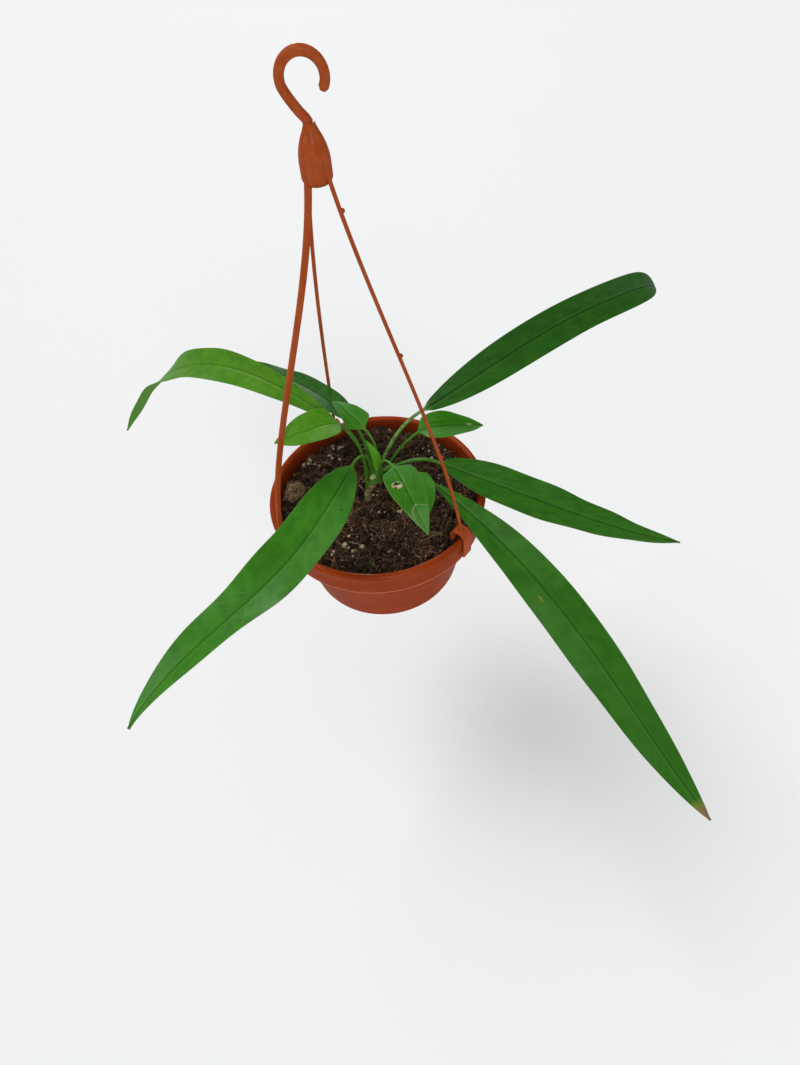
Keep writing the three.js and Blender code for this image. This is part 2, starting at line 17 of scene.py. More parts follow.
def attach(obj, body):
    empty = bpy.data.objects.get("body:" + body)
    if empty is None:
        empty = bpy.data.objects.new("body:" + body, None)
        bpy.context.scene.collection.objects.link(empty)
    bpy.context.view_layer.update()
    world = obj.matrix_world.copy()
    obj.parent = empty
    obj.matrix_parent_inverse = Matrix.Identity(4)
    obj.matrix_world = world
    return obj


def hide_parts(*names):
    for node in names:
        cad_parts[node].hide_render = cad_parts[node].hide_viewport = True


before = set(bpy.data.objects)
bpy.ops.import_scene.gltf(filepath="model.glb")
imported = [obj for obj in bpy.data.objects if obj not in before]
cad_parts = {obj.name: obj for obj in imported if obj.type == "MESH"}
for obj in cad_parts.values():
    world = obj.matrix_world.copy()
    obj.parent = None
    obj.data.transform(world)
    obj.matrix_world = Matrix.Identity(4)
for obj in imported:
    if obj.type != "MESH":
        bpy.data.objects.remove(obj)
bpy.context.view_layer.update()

MM = 0.001

# %% [markdown]
# ## The camera
#
# The plant is seen from in front and well above. A pinhole camera could be placed by eye, but the round
# rim gives its pitch and distance exactly: the rim is a circle, so the ellipse that it makes fixes both.
# The long side of the frame carries the sensor's 36 mm.

# %% Place the camera
SEEN_FROM = Vector((0.01535, -0.36194, 0.50224))
PITCH_DOWN = math.radians(52.083)
ROLL = math.radians(-5.90)


def placed(name, data):
    """An object with the given data, added to the scene."""
    thing = bpy.data.objects.new(name, data)
    bpy.context.scene.collection.objects.link(thing)
    return thing


def camera_turn(pitch, roll):
    """The rotation of a camera that looks along +Y, tipped down by pitch and rolled."""
    right = Vector((1, 0, 0))
    forward = Vector((0, math.cos(pitch), -math.sin(pitch)))
    up = right.cross(forward)
    rolled_right = right * math.cos(roll) + up * math.sin(roll)
    rolled_up = up * math.cos(roll) - right * math.sin(roll)
    return Matrix((rolled_right, rolled_up, -forward)).transposed().to_4x4()


lens = bpy.data.cameras.new("camera")
lens.lens = 21.97
lens.sensor_width = 36
lens.clip_start = 0.01
camera = placed("camera", lens)
camera.matrix_world = Matrix.Translation(SEEN_FROM) @ camera_turn(PITCH_DOWN, ROLL)
bpy.context.scene.camera = camera
print("camera at", tuple(SEEN_FROM))

# %% [markdown]
# ## Building with nodes
#
# Both the finishes and the strewn pieces are node trees. Wiring them by hand takes a dozen lines for
# each step of arithmetic, so one small class wraps a socket and lets Python's own operators add the
# Math nodes. A second class adds any other node from its type, its settings and its inputs.

# %% A socket that does arithmetic
class Value:
    """One output socket. Arithmetic on it adds Math nodes to its tree."""

    def __init__(self, graph, socket):
        self.graph = graph
        self.socket = socket

    def math(self, operation, *others, clamp=False):
        settings = {"operation": operation, "use_clamp": clamp}
        return self.graph.node("ShaderNodeMath", settings, [self, *others])

    def __add__(self, other):
        return self.math("ADD", other)

    __radd__ = __add__

    def __sub__(self, other):
        return self.math("SUBTRACT", other)

    def __rsub__(self, other):
        return self.graph.node("ShaderNodeMath", {"operation": "SUBTRACT"}, [other, self])

    def __mul__(self, other):
        return self.math("MULTIPLY", other)

    __rmul__ = __mul__

    def __truediv__(self, other):
        return self.math("DIVIDE", other)

    def __pow__(self, other):
        return self.math("POWER", other)

    def clamp(self):
        return self.math("ADD", 0.0, clamp=True)

    def step(self, low, high):
        """0 below low and 1 above high, with a soft passage between them."""
        settings = {"interpolation_type": "SMOOTHSTEP"}
        inputs = {"Value": self, "From Min": low, "From Max": high}
        return self.graph.node("ShaderNodeMapRange", settings, inputs)

    def fall(self, low, high):
        """1 below low and 0 above high: the reverse of step."""
        return 1 - self.step(low, high)

    def near(self, place, inner, outer):
        """1 within inner of a value, and 0 farther from it than outer."""
        return (self - place).math("ABSOLUTE").fall(inner, outer)


# %% A tree that takes nodes in one line each
class Nodes:
    """A node tree. node() adds one node and returns one of its outputs."""

    def __init__(self, tree):
        self.tree = tree

    def node(self, kind, settings=None, inputs=None, out=0):
        node = self.tree.nodes.new(kind)
        for key, value in (settings or {}).items():
            setattr(node, key, value)
        sockets = [socket for socket in node.inputs if socket.enabled]
        named = inputs.items() if isinstance(inputs, dict) else enumerate(inputs or [])
        for key, value in named:
            socket = sockets[key] if isinstance(key, int) else next(s for s in sockets if s.name == key)
            self.give(socket, value)
        outputs = [socket for socket in node.outputs if socket.enabled]
        chosen = outputs[out] if isinstance(out, int) else next(s for s in outputs if s.name == out)
        return Value(self, chosen)

    def give(self, socket, value):
        if isinstance(value, Value):
            self.tree.links.new(value.socket, socket)
        elif value is not None:
            is_colour = socket.type == "RGBA" and len(value) == 3
            socket.default_value = (*value, 1.0) if is_colour else value

    def mix(self, factor, a, b):
        return self.node("ShaderNodeMix", {"data_type": "RGBA"}, [factor, a, b])

    def noise(self, scale, detail, roughness, at=None):
        inputs = {"Vector": at, "Scale": scale, "Detail": detail, "Roughness": roughness}
        return self.node("ShaderNodeTexNoise", {}, inputs)

    def stray(self, scale, reach, detail=3.0, roughness=0.6):
        """Noise about zero that makes an even edge ragged. It strays by up to half of reach."""
        return (self.noise(scale, detail, roughness) - 0.5) * reach

    def vector(self, operation, *inputs):
        return self.node("ShaderNodeVectorMath", {"operation": operation}, inputs)

    def attribute(self, name):
        return self.node("ShaderNodeAttribute", {"attribute_name": name}, out="Fac")


# %% A finish
class Finish(Nodes):
    """A Principled material. Values that are the same all over go straight to the shader's sockets."""

    def __init__(self, name, **fixed):
        self.material = bpy.data.materials.new(name)
        self.material.use_nodes = True
        super().__init__(self.material.node_tree)
        self.tree.nodes.clear()
        self.shader = self.tree.nodes.new("ShaderNodeBsdfPrincipled")
        output = self.tree.nodes.new("ShaderNodeOutputMaterial")
        self.tree.links.new(self.shader.outputs[0], output.inputs["Surface"])
        for key, value in fixed.items():
            self.give(self.shader.inputs[key.replace("_", " ")], value)
        self.place = self.node("ShaderNodeTexCoord", out="Object")

    def axes(self):
        """The place on the object as three separate numbers, in metres."""
        split = self.node("ShaderNodeSeparateXYZ", {}, [self.place])
        return [Value(self, socket) for socket in split.socket.node.outputs]

    def stretched(self, x, y, z):
        """The place on the object, squeezed along each axis before a pattern reads it."""
        return self.node("ShaderNodeMapping", {}, {"Vector": self.place, "Scale": (x, y, z)})

    def lay(self, share, colour):
        """Lays a colour over what is there, as far as the share says."""
        self.colour = self.mix(share, self.colour, colour)

    def wear(self, roughness, height=None, strength=0.5, depth=0.0005):
        """Feeds the channels that change over the surface."""
        self.give(self.shader.inputs["Base Color"], self.colour)
        self.give(self.shader.inputs["Roughness"], roughness)
        if height is not None:
            inputs = {"Strength": strength, "Distance": depth, "Height": height}
            self.give(self.shader.inputs["Normal"], self.node("ShaderNodeBump", {}, inputs))
        return self.material


# %% [markdown]
# ## Small helpers for meshes
#
# Every piece is a mesh with its place in its vertices, so the helpers take points in millimetres, in the
# same frame as the solids, and store them in metres.

# %% Meshes from points
def bare_piece(name, points, edges, faces):
    mesh = bpy.data.meshes.new(name)
    mesh.from_pydata((np.asarray(points) * MM).tolist(), edges, faces)
    mesh.update()
    return placed(name, mesh)


def mesh_piece(name, points, faces, material):
    """A smooth mesh from points in millimetres."""
    piece = bare_piece(name, points, [], faces)
    piece.data.materials.append(material)
    piece.data.shade_smooth()
    return piece


def line_piece(name, points):
    """A bare line of vertices through points in millimetres, for a recipe to follow."""
    return bare_piece(name, points, [(i, i + 1) for i in range(len(points) - 1)], [])


def soften(piece, sharp):
    """Smooth shading, apart from the edges sharper than the given angle in degrees."""
    piece.data.shade_smooth()
    piece.data.set_sharp_from_angle(angle=math.radians(sharp))


def settle(piece, slot, *nodes):
    """Fixes a finished piece to the part's root body and hides the solids that it stands for. The slot is
    not used.
    """
    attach(piece, "root")
    if nodes:
        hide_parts(*nodes)
    triangles = sum(len(face.vertices) - 2 for face in piece.data.polygons)
    print(f"{piece.name}: {triangles} triangles")


def store(piece, name, values):
    """Keeps one number for each vertex, for the finish to read."""
    layer = piece.data.attributes.new(name, "FLOAT", "POINT")
    layer.data.foreach_set("value", np.asarray(values, dtype=np.float32).ravel())


def turns(count):
    """Angles evenly spaced round one turn."""
    return 2 * math.pi * np.arange(count) / count


def loft(name, points, material):
    """A closed skin over rings of points, one row of the array for each ring."""
    rings, count = points.shape[:2]
    faces = []
    for i in range(rings - 1):
        for j in range(count):
            a = i * count + j
            b = i * count + (j + 1) % count
            faces.append((a, b, b + count, a + count))
    faces.append(tuple(reversed(range(count))))
    faces.append(tuple(range((rings - 1) * count, rings * count)))
    return mesh_piece(name, points.reshape(-1, 3), faces, material)


def point_outwards(piece):
    """Turns the faces of a closed mesh outwards."""
    shell = bmesh.new()
    shell.from_mesh(piece.data)
    bmesh.ops.remove_doubles(shell, verts=shell.verts, dist=1e-6)
    bmesh.ops.recalc_face_normals(shell, faces=shell.faces)
    shell.to_mesh(piece.data)
    shell.free()
    return piece


def apply_modifiers(piece):
    """Turns what the modifiers make into the piece's own mesh and removes them."""
    shown = bpy.context.evaluated_depsgraph_get()
    made = bpy.data.meshes.new_from_object(piece.evaluated_get(shown))
    piece.modifiers.clear()
    piece.data = made
    return piece


# %% [markdown]
# ## Recipes for what repeats
#
# Geometry Nodes strew the crumbs, fibres and grains, turn the pot and sweep the hanger's legs. A recipe
# is a tree with named inputs for its sizes and a seed, so one rule serves many places with other numbers.

# %% A Geometry Nodes recipe
class Recipe(Nodes):
    def __init__(self, name, **sizes):
        tree = bpy.data.node_groups.new(name, "GeometryNodeTree")
        tree.interface.new_socket("Geometry", in_out="INPUT", socket_type="NodeSocketGeometry")
        for label, value in sizes.items():
            kind = "NodeSocketInt" if isinstance(value, int) else "NodeSocketFloat"
            tree.interface.new_socket(label, in_out="INPUT", socket_type=kind).default_value = value
        tree.interface.new_socket("Geometry", in_out="OUTPUT", socket_type="NodeSocketGeometry")
        super().__init__(tree)
        entry = tree.nodes.new("NodeGroupInput")
        self.exit = tree.nodes.new("NodeGroupOutput")
        self.geometry = Value(self, entry.outputs["Geometry"])
        self.sizes = {label: Value(self, entry.outputs[label]) for label in sizes}

    def random(self, low, high, seed, vector=False):
        settings = {"data_type": "FLOAT_VECTOR" if vector else "FLOAT"}
        return self.node("FunctionNodeRandomValue", settings, {"Min": low, "Max": high, "Seed": seed})

    def make(self, kind, settings=None, **inputs):
        """A geometry node. In the name of an input, an underscore stands for a space."""
        named = {label.replace("_", " "): value for label, value in inputs.items()}
        return self.node("GeometryNode" + kind, settings, named)

    def real(self, geometry):
        return self.make("RealizeInstances", Geometry=geometry)

    def moved(self, geometry, offset):
        return self.make("SetPosition", Geometry=geometry, Offset=offset)

    def strewn_points(self, density):
        """Random points on the faces of the piece."""
        settings = {"distribute_method": "RANDOM"}
        return self.make("DistributePointsOnFaces", settings, Mesh=self.geometry, Density=density,
                         Seed=self.sizes["Seed"])

    def toned_copies(self, points, thing, turn, scale):
        """A real copy of a thing on each point. Each copy has one random tone."""
        copies = self.make("InstanceOnPoints", Points=points, Instance=thing, Rotation=turn, Scale=scale)
        settings = {"data_type": "FLOAT", "domain": "INSTANCE"}
        tone = self.random(0.0, 1.0, self.sizes["Seed"] + 4)
        toned = self.make("StoreNamedAttribute", settings, Geometry=copies, Name="tone", Value=tone)
        return self.real(toned)

    def finish(self, geometry, material):
        finished = self.make("SetMaterial", Geometry=self.real(geometry), Material=material)
        self.tree.links.new(finished.socket, self.exit.inputs[0])
        return self

    def cook(self, piece, **sizes):
        """Runs the recipe on a piece with its own sizes and keeps the mesh that it makes."""
        modifier = piece.modifiers.new(self.tree.name, "NODES")
        modifier.node_group = self.tree
        for item in self.tree.interface.items_tree:
            if item.in_out == "INPUT" and item.name in sizes:
                modifier[item.identifier] = sizes[item.name]
        return apply_modifiers(piece)


# %% [markdown]
# ## Moulded plastic
#
# The pot and its hanger are polypropylene, coloured terracotta in the mass. Such plastic is glossy but
# not flat: it has a faint orange-peel from the mould, a slow mottle of tone, and fine scuffs that show
# as changes in gloss. Peat dust clings inside the rim, just above the soil. The inside is what lies
# nearer to the axis than the middle of the tapering wall.

# %% Mix the plastic
POT_HEIGHT = 100
SOIL_LEVEL = 87.5
WALL_TAPER = 0.2214
WALL_MIDDLE = 63.6
# The lower lip of the skirt under the rim, where a thin line of painted highlight runs.
LIP_HEIGHT = 77.9
# Crumbs of peat cling to the top of the rim in a ring of this radius, and the skirt starts beyond it.
CRUMB_RING = 85.0
SKIRT_INSIDE = 86.0
# The wall is dusty above this height only.
DUST_FOOT = 70.0


def peat_dust(finish, roughness, streaks):
    """Painted shade and dust inside the pot, crumbs on its rim and a painted highlight on the lip of its
    skirt.
    """
    x, y, z = finish.axes()
    reach = (x * x + y * y) ** 0.5
    inside = (reach - z * WALL_TAPER).math("LESS_THAN", WALL_MIDDLE * MM)
    inside = inside * z.math("GREATER_THAN", DUST_FOOT * MM)
    # Painted shade: the inner wall is darkened below the rim.
    shaded = inside * z.fall((POT_HEIGHT - 8) * MM, (POT_HEIGHT + 1) * MM)
    finish.lay(shaded * 0.55, (0.120, 0.012, 0.004))
    near_soil = (z + finish.stray(70.0, 0.016)).fall((SOIL_LEVEL - 1) * MM, (SOIL_LEVEL + 7) * MM)
    specks = finish.noise(900.0, 4.0, 0.75).step(0.44, 0.62)
    drips = finish.noise(300.0, 3.0, 0.6, at=finish.stretched(1, 1, 0.15)).step(0.62, 0.70)
    dust = (inside * (near_soil * (specks * 0.75 + 0.25) + drips * 0.5)).clamp()
    finish.lay(dust, (0.022, 0.010, 0.006))
    on_top = reach.near(CRUMB_RING * MM, 0.0002, 0.0012) * z.step(0.0965, 0.0985)
    crumbs_on_rim = on_top * finish.noise(1100.0, 2.0, 0.5).step(0.60, 0.66)
    finish.lay(crumbs_on_rim * 0.8, (0.03, 0.015, 0.01))
    # Painted highlight: a thin pale line along the skirt's lower lip.
    lip = z.near(LIP_HEIGHT * MM, 0.0003, 0.0010) * reach.math("GREATER_THAN", SKIRT_INSIDE * MM)
    finish.lay(lip * (streaks * 0.5 + 0.25), (0.720, 0.300, 0.180))
    return roughness + dust * 0.4


def moulded_plastic(name, body, deep, gloss, dusty):
    finish = Finish(name, IOR=1.46, Specular_IOR_Level=0.0, Coat_Weight=0.14, Coat_Roughness=0.09)
    finish.colour = finish.mix(finish.noise(9.0, 3.0, 0.55).step(0.32, 0.72), deep, body)
    streaks = finish.noise(60.0, 4.0, 0.65, at=finish.stretched(1, 1, 4))
    scuffs = finish.noise(420.0, 3.0, 0.6, at=finish.stretched(1, 1, 0.25)).step(0.56, 0.70)
    roughness = streaks * 0.16 + (gloss - 0.08) + scuffs * 0.12
    if dusty:
        roughness = peat_dust(finish, roughness, streaks)
    peel = finish.noise(260.0, 2.0, 0.4)
    return finish.wear(roughness.clamp(), peel, 0.15, 0.0004)


pot_colours = ((0.330, 0.048, 0.009), (0.280, 0.037, 0.006))
hanger_colours = ((0.440, 0.090, 0.022), (0.360, 0.064, 0.015))
pot_plastic = moulded_plastic("terracotta_plastic", *pot_colours, gloss=0.26, dusty=True)
hanger_plastic = moulded_plastic("hanger_plastic", *hanger_colours, gloss=0.38, dusty=False)

# %% [markdown]
# ## The pot
#
# The pot is a thin lathed shell: a small foot, a rounded corner, a straight taper, a broad skirt under
# the rim that stands clear of the wall, and a rolled rim. It could be spun with a modifier, but a
# recipe shows the rule plainly: a grid of points, where one direction counts along the profile and the
# other counts round the turn. Eight drainage holes are then cut in the floor.

# %% Draw the pot's profile
RIM_RADIUS = 90.0
RIM_ROLL = 3.0
RIM_CENTRE = RIM_RADIUS - RIM_ROLL
BASE_RADIUS = 53.0
WALL = 1.8
BAND_HEIGHT = 22.6
CORNER_TOP = 13.0
CORNER_RADIUS = 65.4


def inner_radius(z):
    slope = (RIM_CENTRE - RIM_ROLL - CORNER_RADIUS) / (POT_HEIGHT - RIM_ROLL - CORNER_TOP)
    return CORNER_RADIUS + (z - CORNER_TOP) * slope


def arc(centre, radius, start, end, count):
    """Points on an arc in radius and height, from one angle in degrees to another."""
    angles = np.radians(np.linspace(start, end, count))
    return [(centre[0] + radius * math.cos(a), centre[1] + radius * math.sin(a)) for a in angles]


def corner(floor, inset, places):
    """The rounded corner between floor and wall, at places from 1 at the wall to 0 at the floor."""
    points = []
    for u in places:
        turn = math.radians(90 * u)
        radius = BASE_RADIUS - inset + (CORNER_RADIUS - BASE_RADIUS + WALL) * math.sin(turn)
        points.append((radius, floor + (CORNER_TOP - floor) * (1 - math.cos(turn))))
    return points


def pot_profile():
    under_band = POT_HEIGHT - BAND_HEIGHT
    band_top = POT_HEIGHT - 6
    skirt_in = RIM_RADIUS - 3.2
    skirt_out = RIM_RADIUS - 1.4
    profile = [(0, 0)]
    profile += [(BASE_RADIUS - inset, rise) for inset, rise in ((9, 0), (8.2, 0.7), (5.4, 0.7), (4.6, 0))]
    profile += corner(0, 0, np.linspace(0, 1, 12))
    profile.append((inner_radius(under_band) + WALL, under_band))
    profile.append((inner_radius(band_top) + WALL, band_top - 0.6))
    profile.append((inner_radius(band_top) + WALL + 0.6, band_top))
    profile.append((RIM_RADIUS - 3.2, band_top))
    profile.append((RIM_RADIUS - 2.9, band_top - 0.5))
    profile.append((skirt_in, under_band + 0.6))
    profile += arc((0.5 * (skirt_in + skirt_out), under_band + 0.6), 0.9, 180, 360, 9)[1:]
    for inset, drop in ((1.2, 12), (1.0, 6.4), (0.8, 5.4), (0.3, 4.4)):
        profile.append((RIM_RADIUS - inset, POT_HEIGHT - drop))
    profile += arc((RIM_CENTRE, POT_HEIGHT - RIM_ROLL), RIM_ROLL, 0, 180, 17)
    profile.append((inner_radius(POT_HEIGHT - 5) + 0.1, POT_HEIGHT - 5))
    profile += corner(WALL, WALL, np.linspace(1, 0, 12))
    profile.append((0, WALL))
    return profile


profile = pot_profile()
print("profile points:", len(profile))

# %% Turn the profile into the pot
TURNS = 192
DRAIN_CIRCLE = 36.0
DRAIN_RADIUS = 4.5
DRAIN_COUNT = 8
DRILL_SIDES = 24
DRILL_DEPTH = 12.0


def pot_recipe(material):
    recipe = Recipe("turned_pot", Turns=TURNS, Stations=8, DrainCircle=DRAIN_CIRCLE * MM,
                    DrainRadius=DRAIN_RADIUS * MM)
    around = recipe.sizes["Turns"]
    grid = recipe.make("MeshGrid", Vertices_X=recipe.sizes["Stations"], Vertices_Y=around + 1)
    index = recipe.make("InputIndex")
    row = (index / (around + 1)).math("FLOOR")
    column = index - row * (around + 1)
    drawn = recipe.make("InputPosition")
    settings = {"data_type": "FLOAT_VECTOR", "domain": "POINT"}
    point = recipe.make("SampleIndex", settings, Geometry=recipe.geometry, Value=drawn, Index=row)
    angle = column * (2 * math.pi) / around
    settings = {"rotation_type": "Z_AXIS"}
    place = recipe.node("ShaderNodeVectorRotate", settings, {"Vector": point, "Angle": angle})
    shell = recipe.make("SetPosition", Geometry=grid, Position=place)
    closed = recipe.make("MergeByDistance", Geometry=shell, Distance=1e-5)
    circle = recipe.make("MeshCircle", Vertices=DRAIN_COUNT, Radius=recipe.sizes["DrainCircle"])
    drill = recipe.make("MeshCylinder", Vertices=DRILL_SIDES, Radius=recipe.sizes["DrainRadius"],
                        Depth=DRILL_DEPTH * MM)
    drills = recipe.real(recipe.make("InstanceOnPoints", Points=circle, Instance=drill))
    settings = {"operation": "DIFFERENCE", "solver": "EXACT"}
    return recipe.finish(recipe.make("MeshBoolean", settings, Mesh_1=closed, Mesh_2=drills), material)


outline = line_piece("pot_shell", [(radius, 0, height) for radius, height in profile])
pot = pot_recipe(pot_plastic).cook(outline, Turns=TURNS, Stations=len(profile))
soften(point_outwards(pot), 50)
settle(pot, "pot", "pot")

# %% [markdown]
# ## The stem's line
#
# The short stem stands upright in the soil, then leans to the right and back up at the crown. Its line
# comes first, because the leaf stalks grow out of it.

# %% Draw the stem's line
ROOT_X = -8.5
CROWN_X = 4.5
CROWN_TOP = 125.0


def smoothstep(value, low, high):
    t = np.clip((value - low) / (high - low), 0, 1)
    return t * t * (3 - 2 * t)


def stem_centre(z):
    lean = smoothstep(z, SOIL_LEVEL + 4, CROWN_TOP)
    return np.stack([ROOT_X + (CROWN_X - ROOT_X) * lean, 0 * z, z], -1)


# %% [markdown]
# ## Leaves
#
# Each leaf is one strip that grows out of its own round stalk. Its spine is walked step by step from
# angles given at four places, and every cross-section is a shallow V with a grooved midrib above and a
# keel below. A grid with a simple deform modifier could not hold both the twist and the changing width,
# so the surface is worked out point by point, on the same rule as the solids.

# %% The leaves' own numbers
# foot: where the stalk leaves the stem. stalk, length: lengths of stalk and blade. lift: the stalk's first
# climb. climb, heading, roll: the blade's angles in degrees at its foot, one third, two thirds and tip.
# half: its half width there, before the ends are rounded off. waves: height, number and phase.
# droop: how far the tip bends down beyond that. tip: how blunt the tip is.
LEAVES = {
    "leaf_front_left": dict(
        foot=(-1.5, 3, 121.5), stalk=40, lift=79, length=240, stalk_radius=1.5, waves=(1.6, 3, 0.4),
        climb=(-11, 6, 10, -16), heading=(236.5, 240, 231, 239.5), roll=(6, 6, -4, -19),
        half=(24, 21.5, 18, 15.5)),
    "leaf_front_right": dict(
        foot=(8, -4, 115), stalk=47, lift=43, length=313, stalk_radius=1.7, waves=(1.0, 4, 1.0),
        climb=(-30, -24, -17, -16), heading=(-31, -51.5, -64, -61), roll=(-3, -24, -41, -45),
        half=(9.5, 18, 19.5, 18)),
    "leaf_right": dict(
        foot=(9, 0.2, 120), stalk=46, lift=36, length=244, stalk_radius=1.6, waves=(1.2, 4, 2.2),
        climb=(-27, -28, -28, -24), heading=(-10, -9, -4.5, 2.5), roll=(-11, -26, -22, -9),
        half=(20, 17.5, 13.5, 9.5)),
    "leaf_back_right": dict(
        foot=(6, 6.5, 122), stalk=57, lift=64, length=270, stalk_radius=1.6, waves=(0.8, 3, 0.2),
        climb=(17, 7, -6, -13), heading=(17.5, 30, 33, 41), roll=(-36, -46, -50, -39),
        half=(14, 16, 15, 16), droop=20, tip=16),
    "leaf_left_arching": dict(
        foot=(-6.8, 4.2, 102.5), stalk=67, lift=93, length=297, stalk_radius=1.5, waves=(1.4, 4, 1.4),
        climb=(37, -6, -39, -50), heading=(155, 145, 151.5, 176), roll=(62, 46, 0, -53),
        half=(9.5, 14.5, 18.5, 22.5), tip=2.2),
    "leaf_back_left": dict(
        foot=(-3, 7, 117), stalk=46, lift=90, length=167, stalk_radius=1.4, waves=(0.8, 3, 0.9),
        climb=(7, -3, -8, -20), heading=(120, 133, 138.5, 145), roll=(3, -2, -9, -12),
        half=(15, 11.5, 9, 6.5)),
    "young_leaf_left": dict(
        foot=(-7.7, -0.5, 106), stalk=76, lift=93, length=54, stalk_radius=1.1, waves=(0.5, 2, 0.5),
        climb=(54, 6, -12, -26), heading=(207.5, 202, 188, 174.5), roll=(-1, 10, 12, 0),
        half=(17, 15, 12.5, 9.5)),
    "young_leaf_right": dict(
        foot=(9, 4.4, 116.5), stalk=41, lift=58, length=58, stalk_radius=1.3, waves=(0.5, 2, 1.5),
        climb=(26, -5, -16, -23), heading=(14.5, 7.5, 11, 16), roll=(4, -6, -2, 8),
        half=(16.5, 14.5, 12.5, 9.5)),
    "young_leaf_front": dict(
        foot=(3.5, -5.5, 121.5), stalk=48, lift=74, length=61, stalk_radius=1.2, waves=(0.4, 2, 0.8),
        climb=(9, -15, -33, -52), heading=(-66, -70.5, -65, -61), roll=(-1, 4, 17, 31),
        half=(16, 14.5, 12, 7.5)),
    "young_leaf_front_right": dict(
        foot=(8, -5.2, 121), stalk=31, lift=48, length=37, stalk_radius=1.1, waves=(0.4, 2, 0.3),
        climb=(4, -14, -30, -43), heading=(-43.5, -62.5, -78.5, -92), roll=(3, 2, 0, 0),
        half=(11.5, 11, 8.5, 5.5)),
    "young_leaf_back": dict(
        foot=(1.5, 6.5, 121), stalk=38, lift=106, length=39, stalk_radius=1.2, waves=(0.4, 2, 1.2),
        climb=(25, 18, 8, -4), heading=(131.5, 129, 131.5, 135), roll=(6, -2, -12, -13),
        half=(14, 11.5, 8.5, 6)),
}

# %% The frame along a leaf
BLADE_FOLD = math.radians(12)
BLADE_THICKNESS = 0.8
# Blades shorter than this belong to young leaves, whose side veins are closer together.
YOUNG_LENGTH = 100
YOUNG_VEINS = 5.0
OLD_VEINS = 8.5
# A real stalk is a little slimmer than the solid that stands for it.
STALK_SKIN = 0.80


def through_four(values, t):
    """The smooth curve through four values spaced evenly over t from 0 to 1."""
    a, b, c, d = values
    s = 3 * t
    return (-a * (s - 1) * (s - 2) * (s - 3) / 6 + b * s * (s - 2) * (s - 3) / 2
            - c * s * (s - 1) * (s - 3) / 2 + d * s * (s - 1) * (s - 2) / 6)


def leaf_frame(climb, heading, roll):
    """The directions along, to the side and up, for arrays of angles in degrees."""
    e, h, r = np.radians(climb), np.radians(heading), np.radians(roll)
    along = np.stack([np.cos(e) * np.cos(h), np.cos(e) * np.sin(h), np.sin(e)], -1)
    level = np.stack([-np.sin(h), np.cos(h), np.zeros_like(h)], -1)
    square = np.cross(along, level)
    cos_roll, sin_roll = np.cos(r)[:, None], np.sin(r)[:, None]
    return along, level * cos_roll - square * sin_roll, square * cos_roll + level * sin_roll


def stalk_frame(leaf, u):
    climb = leaf["lift"] + (leaf["climb"][0] - leaf["lift"]) * u * u
    return leaf_frame(climb, leaf["heading"][0] + 0 * u, leaf["roll"][0] * u)


def blade_frame(leaf, t):
    climb, heading, roll = (through_four(leaf[key], t) for key in ("climb", "heading", "roll"))
    droop = leaf.get("droop", 0) * np.clip((t - 0.8) / 0.2, 0, None) ** 2
    return leaf_frame(climb - droop, heading, roll)


def walk(start, length, places, frame_at, steps=8):
    """The points at the given places along a leaf part, walked in short straight steps."""
    points = [np.array(start, float)]
    for low, high in zip(places[:-1], places[1:]):
        middles = low + (high - low) * (np.arange(steps) + 0.5) / steps
        along = frame_at(middles)[0]
        points.append(points[-1] + along.sum(0) * length * (high - low) / steps)
    return np.array(points)


def stalk_line(leaf, u):
    return walk(leaf["foot"], leaf["stalk"], u, lambda middles: stalk_frame(leaf, middles))


def blade_line(leaf, start, t):
    return walk(start, leaf["length"], t, lambda middles: blade_frame(leaf, middles))


# %% The surface of a leaf
def circle_rings(centres, side, up, radius, count):
    """Round sections, in the same order round as the blade's sections."""
    angles = math.pi - 2 * math.pi * (np.arange(count) + 0.5) / count
    reach = radius[:, None, None]
    return (centres[:, None] + side[:, None] * np.cos(angles)[None, :, None] * reach
            + up[:, None] * np.sin(angles)[None, :, None] * reach)


# A blade is never narrower than this to either side. A higher tip number makes a blunter tip.
NARROWEST = 0.9
USUAL_TIP = 5


def half_width(leaf, t):
    rounded = (1 - (1 - t) ** 7) ** 0.75 * (1 - t ** leaf.get("tip", USUAL_TIP)) ** 0.85
    return np.maximum(through_four(leaf["half"], t) * rounded, NARROWEST)


def blade_rings(leaf, t, centres, across):
    """Sections of the blade: the upper face from left to right, then the lower face back again."""
    side, up = blade_frame(leaf, t)[1:]
    half = half_width(leaf, t)[:, None]
    height, count, phase = leaf["waves"]
    t, s = t[:, None], across[None, :]
    wave = height * s * s * np.sin(2 * math.pi * count * t + phase + s) * np.sin(math.pi * t)
    soft_fold = np.sqrt(s * s + 0.0025) - 0.05
    offset = s * half
    groove = 0.55 * np.exp(-(offset / 0.75) ** 2) * (1 - 0.6 * t)
    shoulders = 0.22 * np.exp(-((np.abs(offset) - 1.9) / 0.9) ** 2) * (1 - 0.7 * t)
    veins = vein_relief(offset, half, t, leaf)
    top = soft_fold * half * math.sin(BLADE_FOLD) + wave
    keel = leaf["stalk_radius"] * 1.3 * (1 - 0.8 * t) * np.exp(-(offset / 1.5) ** 2)
    thin = BLADE_THICKNESS * (1 - 0.5 * np.abs(s) ** 6)
    upper = top + shoulders - groove + veins
    lower = top - thin - keel + veins * 0.6
    sideways = side[:, None] * (offset * math.cos(BLADE_FOLD))[:, :, None]
    base = centres[:, None] + sideways
    upper_points = base + up[:, None] * upper[:, :, None]
    lower_points = base + up[:, None] * lower[:, :, None]
    return np.concatenate([upper_points, lower_points[:, ::-1]], 1)


